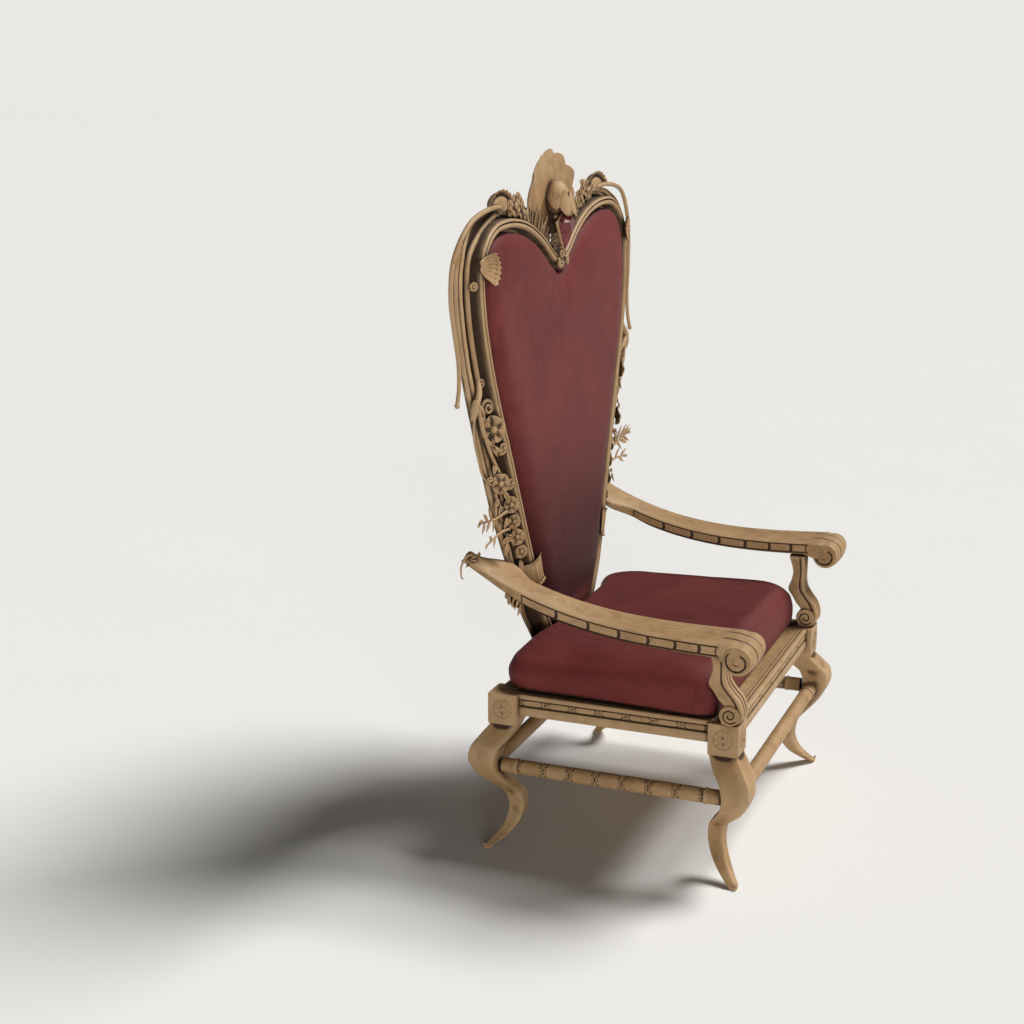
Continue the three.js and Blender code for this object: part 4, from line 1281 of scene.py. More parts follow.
@dataclass
class Arms:
    """Sweeping arms with tiled sides and a front scroll, on scrolled supports."""

    rise: float = 230.0
    thickness: float = 44.0
    overhang: float = 52.0
    tail_behind: float = 37.0
    crest_rise: float = 121.0
    outer_front: float = 515.0
    outer_rear: float = 462.0
    width_front: float = 130.0
    width_rear: float = 82.0
    crown: float = 6.0
    join_reach: float = 38.4
    join_return: float = 34.0
    scroll_radius: float = 36.0
    tiles: int = 7
    support_width: float = 56.0
    support_lean: float = 17.0

    FRONT_EDGE = (
        (0, 12), (0.07, -4), (0.17, -7), (0.32, 1), (0.42, 16), (0.52, 29), (0.62, 34), (0.8, 35),
        (1, 36),
    )
    REAR_EDGE = (
        (0, 44), (0.16, 48), (0.24, 38), (0.32, 50), (0.42, 62), (0.52, 74), (0.66, 67), (0.78, 64),
        (1, 76),
    )
    TAIL_LEAVES = (
        (80.0, 30.0, 38.0, 15.0), (112.0, 55.0, 36.0, 13.0), (55.0, 80.0, 30.0, 12.0),
        (28.0, 15.0, 24.0, 12.0), (135.0, 35.0, 30.0, 11.0), (92.0, 65.0, 44.0, 13.0),
        (124.0, 75.0, 38.0, 12.0),
    )

    def __post_init__(self) -> None:
        """Works out where the arm starts and ends."""
        self.front = -SEAT_DEPTH / 2.0
        self.tail = SEAT_DEPTH / 2.0 + self.tail_behind
        self.scroll_y = self.front - self.overhang + self.scroll_radius
        self.scroll_z = SEAT_TOP + self.rise - self.scroll_radius - 4.0
        self.under_flat = SEAT_TOP + self.rise - self.thickness

    def share(self, y: float) -> float:
        """Share from the front of the seat to the arm's tail."""
        return (y - self.front) / (self.tail - self.front)

    def top(self, y: float) -> float:
        """Height of the arm's top along its middle."""
        t = clamp(self.share(y))
        line = SEAT_TOP + self.rise - 22.0 * t + (self.crest_rise + 22.0) * t ** 3
        ahead = clamp(self.scroll_y + 22.0 - y, 0.0, 34.0)
        return line - 4.0 * ease(ahead, 0.0, 30.0)

    def under(self, y: float) -> float:
        """Height of the arm's underside.

        Args:
            y: Place along the arm.

        Returns:
            The height.
        """
        t = clamp(self.share(y))
        line = SEAT_TOP + self.rise - 22.0 * t + (self.crest_rise + 22.0) * t ** 3
        fillet = 11.0 * (1.0 - ease(y, self.scroll_y + 22.0, self.scroll_y + 62.0))
        slim = 13.0 * ease(t, 0.7, 0.95)
        depth = lerp(self.thickness - 6.0, self.thickness - 10.0, t)
        return max(self.under_flat, line - depth + slim) - fillet

    def outer(self, y: float) -> float:
        """X of the arm's outer side."""
        t = clamp(self.share(y), -0.06, 1.0)
        return lerp(self.outer_front, self.outer_rear, t) - 45.0 * t * (1.0 - t)

    def inner(self, y: float) -> float:
        """X of the arm's inner side, which runs in to meet the heart at the rear."""
        t = clamp(self.share(y), -0.06, 1.0)
        join = self.join_reach * (ease(t, 0.78, 0.88) - ease(t, 0.9, 0.98))
        join -= self.join_return * ease(t, 0.88, 1.0)
        return self.outer(y) - lerp(self.width_front, self.width_rear, t) - join

    def side_cut(self, y: float, below: float) -> float:
        """Depth of the tile grooves on an arm's side, at a depth below its top.

        Args:
            y: Place along the arm.
            below: Depth below its top.

        Returns:
            Depth of the cut.
        """
        first = self.scroll_y + self.scroll_radius + 16.0
        last = lerp(self.front, self.tail, 0.78)
        place = (y - first) / (last - first)
        top, foot = 11.5, 32.0
        if not -0.02 < place < 1.02:
            return 0.0
        tall = (below - top) / (foot - top)
        ends = min(y - first + 4.0 * abs(2.0 * tall - 1.0) ** 2, last - y)
        inside = ease(ends, -2.0, 0.0)
        frame_line = max(groove(below - top, 2.6), groove(below - foot, 2.6), groove(ends, 2.6))
        number = self.tiles * clamp(place) ** 0.8
        bulge = 3.2 * (1.0 - (2.0 * tall - 1.0) ** 2)
        nearest = clamp(round(number), 1, self.tiles - 1)
        line_y = first + (last - first) * (nearest / self.tiles) ** 1.25 - bulge
        between = groove(y - line_y, 6.4) * (top < below < foot)
        tile = 0.8 * (top < below < foot)
        return inside * max(3.0 * frame_line, 3.8 * between, tile)

    def arm(self) -> Carving:
        """Left arm.

        Returns:
            The carving.
        """
        carving = Carving()
        across, upright = 22, 26
        rows = 320
        start = self.scroll_y - 6.0
        rings = []
        stains_and_shade = []
        for row in range(rows + 1):
            y = lerp(start, self.tail, row / rows)
            top, under = self.top(y), self.under(y)
            inner, outer = self.inner(y), self.outer(y)
            fade = ease(self.scroll_y + 66.0 - y, 0.0, 44.0)
            ring = []
            stain_and_shade = []
            for k in range(across + 1):
                share = k / across
                side = 2.0 * share - 1.0
                edge = 3.2 * clamp((abs(side) - 0.9) / 0.1) ** 2
                band = 2.4 * fade * (groove(share - 0.33, 0.05) + groove(share - 0.67, 0.05))
                z = top - self.crown * side * side - edge - band
                ring.append(Vector((lerp(inner + 0.4, outer - 0.4, share), y, z)))
                stain_and_shade.append(0.25 * band)
            tall = top - self.crown - 3.2 - under
            for outward, x in ((1.0, outer), (-1.0, inner)):
                column = []
                marks = []
                for k in range(1, upright):
                    z = top - self.crown - 3.2 - tall * k / upright
                    cut = self.side_cut(y, top - z)
                    column.append(Vector((x - outward * cut, y, z)))
                    marks.append(clamp(0.18 * cut - 0.14))
                if outward > 0.0:
                    ring.extend(column)
                    stain_and_shade.extend(marks)
                    for k in range(across + 1):
                        share = k / across
                        lift = 2.2 * clamp((abs(2.0 * share - 1.0) - 0.88) / 0.12) ** 2
                        ring.append(Vector((lerp(outer, inner, share), y, under + lift)))
                        stain_and_shade.append(0.0)
                else:
                    ring.extend(reversed(column))
                    stain_and_shade.extend(reversed(marks))
            rings.append(ring)
            stains_and_shade.append(stain_and_shade)
        carving.loft(rings, stains_and_shade=stains_and_shade)
        carving.scroll(
            (self.scroll_y, self.scroll_z), self.scroll_radius, self.inner(self.scroll_y),
            self.outer(self.scroll_y), 1.45, 60.0, (0.33, 0.67), crown=4.5, hand=-1,
        )
        self.tail_leaves(carving)
        return carving

    def tail_leaves(self, carving: Carving) -> None:
        """Leaves and a tendril that grow out of the arm's tail.

        Args:
            carving: The arm.
        """
        foot = Vector((self.outer(self.tail) - 22.0, self.tail - 26.0, self.top(self.tail) - 12.0))
        for turn, yaw, length, width in self.TAIL_LEAVES:
            carving.leaf(spot(foot, turn, 12.0, yaw), length, width, 6.0, bend=6.0, cup=3.0)
        path = Spline([foot + Vector(step) for step in (
            (0.0, 0.0, 0.0), (26.0, 16.0, 10.0), (48.0, 22.0, -8.0), (46.0, 24.0, -34.0),
            (36.0, 24.0, -44.0),
        )]).spaced(18)
        carving.tube(path, lambda share: 4.2 * (1.0 - 0.6 * share), 8)

    def support(self) -> Carving:
        """Left arm support: a fluted S with a small scroll at its foot.

        Returns:
            The carving.
        """
        carving = Carving()
        height = self.under_flat - SEAT_TOP - 2.0 * GAP
        front = Spline([(share * height, back) for share, back in self.FRONT_EDGE])
        rear = Spline([(share * height, back) for share, back in self.REAR_EDGE])
        foot_x = SEAT_WIDTH / 2.0 - self.support_width / 2.0 - 1.5
        half = self.support_width / 2.0
        rows, across, deep = 84, 20, 14

        def edge_at(curve: Spline, rise: float) -> float:
            """Reach of an edge at a height above the rail."""
            low, high = 0.0, 1.0
            for _ in range(18):
                middle = (low + high) / 2.0
                if curve.at(middle).x < rise:
                    low = middle
                else:
                    high = middle
            return curve.at(low).y

        rings = []
        stains_and_shade = []
        for row in range(rows + 1):
            rise = height * row / rows
            ahead = self.front + edge_at(front, rise)
            behind = self.front + edge_at(rear, rise)
            middle_x = foot_x + self.support_lean * rise / height
            taper = 1.0 - 0.1 * math.sin(math.pi * row / rows)
            z = SEAT_TOP + GAP + rise
            ring = []
            stain_and_shade = []
            for k in range(across + 1):
                share = k / across
                side = 2.0 * share - 1.0
                flute = 3.4 * (groove(share - 0.34, 0.09) + groove(share - 0.66, 0.09))
                stain_and_shade.append(0.22 * flute)
                edge = 2.6 * clamp((abs(side) - 0.86) / 0.14) ** 2
                ring.append(Vector((middle_x + half * taper * side, ahead + flute + edge, z)))
            cuts = [1.7 * groove(k / deep - 0.26, 0.09) for k in range(1, deep)]
            places = [lerp(ahead + 2.6, behind - 2.0, k / deep) for k in range(1, deep)]
            ring += [
                Vector((middle_x + half * taper - cut, y, z)) for cut, y in zip(cuts, places)
            ]
            stain_and_shade += [0.45 * cut for cut in cuts]
            for k in range(across + 1):
                side = 1.0 - 2.0 * k / across
                edge = 2.0 * clamp((abs(side) - 0.86) / 0.14) ** 2
                ring.append(Vector((middle_x + half * taper * side, behind - edge, z)))
                stain_and_shade.append(0.0)
            ring += [
                Vector((middle_x - half * taper + cut, y, z))
                for cut, y in zip(reversed(cuts), reversed(places))
            ]
            stain_and_shade += [0.45 * cut for cut in reversed(cuts)]
            rings.append(ring)
            stains_and_shade.append(stain_and_shade)
        carving.loft(rings, stains_and_shade=stains_and_shade)
        eye = 0.13 * height
        carving.scroll(
            (self.front + 23.0, SEAT_TOP + GAP + eye), eye - 0.2,
            foot_x - half - 2.0, foot_x + half + 6.0, 1.5, 200.0, (0.33, 0.67), hand=1,
        )
        return carving

    def build(self, shop: Workshop) -> None:
        """Carves both arms and both supports."""
        shop.pair(self.arm, "arm", Grain.LENGTHWAYS, 36.0)
        shop.pair(self.support, "arm_support", Grain.UPRIGHT, 36.0)


@dataclass
class HeartBorder:
    """Carved border of the heart with its leaves and husks."""

    heart: Heart
    samples: int = 210
    husk_lift: float = 23.0

    def build(self, shop: Workshop) -> None:
        """Carves the border, the fan leaves, the wing leaves and the husks.

        Args:
            shop: Where the pieces are hung.
        """
        shop.wood(self.border(), "carved_border", Grain.UPRIGHT, "back_frame", crease=50.0)
        shop.pair(self.fan_leaf, "fan_leaf", Grain.UPRIGHT, 60.0)
        shop.pair(self.wing_leaf, "wing_leaf", Grain.UPRIGHT, 60.0)
        shop.pair(self.husk, "bead_husk", Grain.UPRIGHT, 60.0)

    def border(self) -> Carving:
        """The whole ring of the border.

        Returns:
            The carving.
        """
        carving = Carving()
        left = []
        for index in range(self.samples + 1):
            share = index / self.samples
            width = self.heart.width(share)
            ripple = 0.9 * noise.noise(Vector((share * 40.0, 1.0, 2.0)))
            ring = []
            for out, depth in self.heart.section(width):
                carved = depth + (ripple if 25.0 < out < width - 4.0 and depth < 23.0 else 0.0)
                point = self.heart.on(share, out, carved)
                point.z = max(point.z, SEAT_TOP + GAP)
                point.x = max(point.x, 0.0)
                ring.append(point)
            left.append(ring)
        right = [[Vector((-p.x, p.y, p.z)) for p in ring] for ring in reversed(left[1:-1])]
        section = self.heart.section(100.0)
        stain_and_shade = [self.stain_and_shade(out, depth) for out, depth in section]
        carving.loft(left + right, Ends.ENDLESS, stains_and_shade=[stain_and_shade] * len(left + right))
        return carving

    def stain_and_shade(self, out: float, depth: float) -> float:
        """Colour rubbed into the border's section: painted shade in the channel and on the deep rear parts,
        and thin dark lines in its cuts.

        Args:
            out: Distance out.
            depth: Depth behind the plane.

        Returns:
            Darkening from 0 to 1.
        """
        # Painted shade on the bead's outer wall and the channel floor.
        if 20.9 < out < 60.0 and depth > -9.0:
            return 1.0
        # Painted shade on the deep parts behind the rail and the bead.
        if depth > 12.0 and out < 90.0 or depth > 20.0:
            return 0.9
        lines = max(groove(out - 13.6, 1.6), groove(out - 0.1, 1.2), groove(out - 87.2, 2.0) * 0.8)
        return 0.9 * lines

    def fan_leaf(self) -> Carving:
        """Leaf spread like a fan over the leather at the shoulder.

        Returns:
            The carving.
        """
        carving = Carving()
        stem = self.heart.on(self.heart.side(0.925), 62.0, 0.0)

        def front(across: float, along: float) -> Vector:
            """Point of the leaf's front."""
            angle = math.radians(lerp(-45.0, 45.0, across))
            comb = math.cos(2.0 * math.pi * 7.0 * (across - 0.5))
            reach = lerp(22.0, 98.0 * (1.0 + 0.022 * comb * along), along)
            x = stem.x - reach * math.cos(angle)
            z = stem.z - 12.0 * along + 0.54 * reach * math.sin(angle)
            lift = 20.3 + 11.0 * ease(along, 0.3, 1.0) + 1.3 * comb * along + 4.0 * ease(along, 0.86, 1.0)
            return Vector((x, self.heart.plane(z) - lift, z))

        carving.sheet(84, 20, front, 5.0)
        return carving

    def wing_leaf(self) -> Carving:
        """Leaf with a toothed edge that hangs from the border below the arm.

        Returns:
            The carving.
        """
        carving = Carving()
        top, foot = self.heart.side(0.25), self.heart.side(0.155)

        def front(across: float, along: float) -> Vector:
            """Point of the leaf's front."""
            share = lerp(top, foot, along)
            saw = (along * 5.0) % 1.0
            tooth = 0.72 + 0.42 * saw ** 1.4
            body = 44.0 * math.sin(math.pi * (0.12 + 0.88 * along))
            reach = (body * (1.0 - across * (1.0 - tooth)) + 5.0) * across
            vein = 1.5 * math.cos(2.0 * math.pi * 5.0 * along) * across
            depth = self.heart.channel - 6.0 + 6.0 * math.sin(math.pi * across) + vein
            return self.heart.on(share, self.heart.width(share) + GAP + reach, depth)

        carving.sheet(14, 60, front, 7.0)
        for index in range(5):
            share = self.heart.side(lerp(0.244, 0.165, index / 4.0))
            point = self.heart.on(share, self.heart.width(share) + 3.0, 17.0)
            stand = spot(point, 118.0 + 8.0 * index, 4.0)
            carving.leaf(stand, 46.0 - 4.0 * index, 15.0, 5.0, bend=-3.0, cup=2.0)
        return carving

    def husk(self) -> Carving:
        """Husk wrapped round the lower end of the bead.

        Returns:
            The carving.
        """
        carving = Carving()

        def front(across: float, along: float) -> Vector:
            """Point of the husk's front."""
            share = lerp(self.heart.side(0.25), self.heart.side(0.185), along)
            flare = 1.0 + 0.12 * math.cos(math.pi * along)
            out = lerp(-18.0, 38.0, across) * flare
            rib = 0.9 * math.cos(2.0 * math.pi * 4.5 * across) * ease(along, 0.05, 0.3)
            lip = 4.0 * (ease(along, 0.9, 1.0) + 1.0 - ease(along, 0.0, 0.1))
            depth = self.husk_lift * (1.35 * across ** 4 - 1.0)
            return self.heart.on(share, out, depth + rib - lip)

        carving.sheet(48, 24, front, 5.0)
        return carving


@dataclass
class Vine:
    """Vine that runs round the border: strands, curls, blossoms, twigs and blades."""

    heart: Heart
    strand: float = 8.0
    tendril: float = 7.0
    stand_off: float = 17.0
    face_out: float = 36.0

    HANG = (
        (0.925, 2, 12), (0.88, 0, 15), (0.83, -4, 15), (0.77, -4, 15), (0.73, 14, 15), (0.707, 38, 15),
    )
    CURLS = (
        (0.645, 38, 6, 21, 1.5, -20, 1, 5.4), (0.545, 30, -4, 15, 1.35, -40, -1, 4.6),
        (0.457, 28, -4, 14, 1.35, -40, -1, 4.2), (0.385, 66, 8, 11, 1.2, 160, 1, 3.2),
        (0.345, 70, 8, 13, 1.3, 60, -1, 3.4), (0.3, 28, 8, 10, 1.2, 0, 1, 3.0),
        (0.7, 44, 8, 11, 1.2, 60, 1, 3.2),
    )
    BLOSSOMS = (
        (0.6, 48, 33, 10, 5), (0.482, 72, 25, 30, 5), (0.41, 42, 21, 0, 5), (0.37, 46, 18, 40, 5),
        (0.332, 48, 21, 15, 5), (0.29, 42, 17, 50, 5), (0.895, 40, 11, 0, 5),
    )
    LEAVES = (
        (0.63, 70, 60, 34, 15), (0.575, 60, 190, 36, 15), (0.53, 66, 150, 32, 14),
        (0.505, 92, 70, 30, 14), (0.45, 84, 110, 34, 15), (0.452, 56, 200, 32, 14),
        (0.42, 74, 70, 32, 13), (0.39, 62, 130, 32, 14), (0.385, 32, 215, 28, 13),
        (0.35, 80, 95, 32, 14), (0.345, 92, 140, 34, 13), (0.3, 30, 190, 28, 13),
        (0.272, 46, 165, 34, 14),
    )
    TWIG_LEAVES = (
        (0.42, 22, 52, 13), (0.58, 40, 58, 13), (0.72, 52, 56, 12), (0.62, 104, 48, 12),
        (0.8, 112, 40, 11), (0.88, 66, 42, 12), (0.97, 84, 30, 10), (0.34, -8, 34, 10),
        (0.48, 128, 34, 10),
    )
    LOW_LEAVES = ((0.5, 30, 36), (0.7, 118, 34), (0.85, 50, 34), (1.0, 92, 26))
    CLUMP = ((0.44, 46, 26), (0.53, 52, 28), (0.385, 38, 18), (0.485, 70, 18), (0.58, 40, 16))
    LOBE_CURLS = (
        (0.6, 42, 15, 200, 1), (0.34, 40, 12, 20, -1), (0.07, 36, 15, 160, -1), (0.12, 60, 11, 90, 1),
        (0.72, 40, 11, 40, -1), (0.8, 36, 10, 150, 1),
    )
    BLADES = (
        (0.14, 46, -10, 12), (0.16, 66, -4, 13), (0.185, 58, 10, 10), (0.21, 56, 16, 12),
        (0.235, 62, 4, 11), (0.26, 66, 0, 13), (0.285, 48, 20, 10), (0.31, 54, 14, 12),
        (0.35, 44, 24, 11), (0.47, 44, -12, 11), (0.56, 40, 22, 11), (0.2, 44, -20, 9),
    )

    def __post_init__(self) -> None:
        """Works out the depths at which the vine lies."""
        self.sunk = self.heart.channel - self.strand - 2.0 * GAP
        self.high = self.over_rail(self.strand)

    def over_rail(self, radius: float) -> float:
        """Depth of a round stem that lies on the rail."""
        return self.heart.channel - self.heart.rail - radius - 3.0 * GAP

    def path(self, points: Sequence[tuple[float, float, float]], count: int) -> Ring:
        """Smooth path through border places given as share, distance out and depth."""
        return Spline([self.heart.on(*place) for place in points]).spaced(count)

    def place(self, rise: float, out: float, depth: float) -> Vector:
        """Place on the side of the border at a share of the heart's rise."""
        return self.heart.on(self.heart.side(rise), out, depth)

    def stems(self, carving: Carving) -> None:
        """Main strand, hanging tendril and lower strand.

        Args:
            carving: Piece that they are added to.
        """
        side, lobe = self.heart.side, self.heart.lobe
        sunk, high = self.sunk, self.high
        carving.tube(self.path([
            (lobe(0.13), 31, sunk), (lobe(0.35), 32, sunk), (lobe(0.6), 33, sunk),
            (lobe(0.82), 34, sunk), (side(0.94), 36, sunk), (side(0.88), 39, sunk),
            (side(0.8), 39, sunk), (side(0.74), 38, sunk), (side(0.71), 46, sunk - 3),
            (side(0.692), 71, high), (side(0.679), 96, high),
        ], 130), lambda share: self.strand * (0.8 + 0.2 * share), 14)
        rounded = self.over_rail(self.tendril)
        hang = [(lobe(0.74), 32, sunk), (lobe(0.88), 46, rounded + 4), (side(0.966), 88, rounded)]
        for rise, extra, depth in self.HANG:
            share = side(rise)
            hang.append((share, self.heart.width(share) + self.tendril + self.stand_off + extra, depth))
        tendril = self.path(hang, 120)
        carving.tube(tendril, lambda share: self.tendril * (0.86 - 0.2 * share), 12)
        carving.ball(spot(tendril[-1]), 6.4)
        carving.tube(self.path([
            (side(0.679), 92, high), (side(0.655), 74, high), (side(0.63), 60, sunk - 5),
            (side(0.585), 54, sunk), (side(0.51), 52, sunk), (side(0.42), 49, sunk),
            (side(0.34), 43, sunk), (side(0.27), 38, sunk),
        ], 110), lambda share: self.strand * (0.86 - 0.3 * share), 12)

    def threads(self, carving: Carving) -> None:
        """Three thin strands that leave the knob, and the knob itself.

        Args:
            carving: Piece that they are added to.
        """
        side, high = self.heart.side, self.high
        for points, thick in (
            (((0.679, 92, high), (0.65, 89, high), (0.62, 88, high), (0.595, 80, high + 1),
              (0.57, 62, 2), (0.548, 44, -3), (0.533, 34, -4)), 6.0),
            (((0.6, 84, high), (0.565, 78, high), (0.52, 64, 2), (0.48, 50, -1), (0.455, 38, -4),
              (0.443, 30, -4)), 5.0),
            (((0.675, 94, high), (0.645, 101, 12), (0.611, 107, 18), (0.563, 111, 18),
              (0.522, 109, 18), (0.492, 96, 10)), 3.4),
        ):
            path = self.path([(side(rise), out, depth) for rise, out, depth in points], 60)
            carving.tube(path, lambda share, size=thick: size * (1.0 - 0.25 * share), 10)
        foot, depth = side(0.689), self.over_rail(9.0)
        knob = [self.heart.on(foot + 0.0057 * i, 92 + 8 * i, depth + 2 * i) for i in range(4)]
        carving.tube(
            Spline(knob).spaced(16),
            lambda share: 8.6 * math.sin(math.pi * clamp(0.16 + 0.74 * share)) ** 0.5, 16,
        )

    def flowers(self, carving: Carving) -> None:
        """Curls, blossoms and leaves down the side, turned towards its outer edge.

        Args:
            carving: Piece that they are added to.
        """
        for rise, out, depth, radius, turns, start, hand, thick in self.CURLS:
            stand = spot(self.place(rise, out, depth - 2), yaw=22.0)
            carving.curl(stand, radius, turns, start, hand, thick)
        base = self.over_rail(6.0)
        for rise, out, radius, turn, petals in self.BLOSSOMS:
            stand = spot(self.place(rise, out, base - 7), turn, 0.0, self.face_out)
            carving.blossom(stand, radius, petals)
        for rise, out, turn, length, width in self.LEAVES:
            stand = spot(self.place(rise, out, base - 2), turn + 8, 10.0, 26.0)
            carving.leaf(stand, length, width, 5.0, bend=4.0, cup=2.5)

    def twigs(self, carving: Carving) -> None:
        """Leafy twigs that stand out past the border above the arm.

        Args:
            carving: Piece that they are added to.
        """
        foot = self.place(0.4, 50, self.over_rail(5.0))
        tip = foot + Vector((164.0, 2.0, 8.0))
        middle = foot.lerp(tip, 0.5) + Vector((0.0, 0.0, -6.0))
        stem = Spline([foot, middle, tip])
        carving.tube(stem.spaced(24), lambda share: 5.0 - 3.0 * share, 8)
        for share, turn, length, width in self.TWIG_LEAVES:
            stand = spot(stem.at(share), turn, 6.0)
            carving.leaf(stand, length, width, 4.6, bend=3.0, cup=1.6, sway=5.0)
        foot = self.place(0.36, 60, self.over_rail(5.0))
        low = Spline([foot, foot + Vector((60.0, -2.0, 6.0)), foot + Vector((134.0, 0.0, -4.0))])
        carving.tube(low.spaced(16), lambda share: 4.0 - 2.0 * share, 8)
        for share, turn, length in self.LOW_LEAVES:
            carving.leaf(spot(low.at(share), turn, 6.0), length, 10.5, 4.2, bend=3.0, sway=4.0)

    def shell(self, carving: Carving, foot: Vector) -> None:
        """Ribbed leaf that rises from the lobe.

        Args:
            carving: Piece that it is added to.
            foot: Place from which it spreads.
        """
        def front(across: float, along: float) -> Vector:
            """Point of the leaf's front."""
            angle = math.radians(lerp(-62.0, 66.0, across))
            teeth = 0.1 * abs(math.sin(math.pi * 8.0 * across)) * ease(along, 0.84, 1.0)
            reach = lerp(7.0, 60.0 * (1.0 + teeth), along)
            x = foot.x + 1.25 * reach * math.sin(angle) + 10.0 * along
            z = foot.z + reach * math.cos(angle) * 0.86
            lip = 7.0 * groove(along - 0.84, 0.1) - 9.0 * ease(along, 0.88, 1.0)
            depth = self.sunk - 8.0 - 5.0 * math.sin(math.pi * along) + 2.0 * along + lip
            return Vector((x, self.heart.plane(z) + depth, z))

        carving.sheet(72, 18, front, 6.0)

    def crown(self, carving: Carving) -> None:
        """Shell leaf, flowers, curls and blades that crown the lobe.

        Args:
            carving: Piece that they are added to.
        """
        heart = self.heart
        foot = heart.on(heart.lobe(0.66), 32, self.sunk)
        self.shell(carving, foot)
        carving.curl(spot(foot + Vector((-36.0, -10.0, 20.0))), 13.0, 1.4, 210, 1, 3.8)
        for reach, out, radius in self.CLUMP:
            point = heart.on(heart.lobe(reach), out, self.sunk - 9)
            carving.blossom(spot(point, 360.0 * reach, 6.0), radius)
        for reach, out, radius, start, hand in self.LOBE_CURLS:
            point = heart.on(heart.lobe(reach), out, self.sunk - 2)
            carving.curl(spot(point), radius, 1.3, start, hand, 3.8)
        for reach, height, slope, width in self.BLADES:
            point = heart.on(heart.lobe(reach), 29, self.sunk - 2)
            carving.leaf(
                spot(point, math.degrees(math.atan2(slope, height)), 5.0),
                math.hypot(slope, height), width, 6.0, LeafShape.TONGUE,
                bend=7.0, cup=1.5, sway=0.12 * slope,
            )

    def vine(self) -> Carving:
        """Left vine.

        Returns:
            The carving.
        """
        carving = Carving()
        self.stems(carving)
        self.threads(carving)
        self.flowers(carving)
        self.twigs(carving)
        self.crown(carving)
        return carving

    def build(self, shop: Workshop) -> None:
        """Carves the vine of both sides."""
        shop.pair(self.vine, "vine", Grain.UPRIGHT, 60.0)


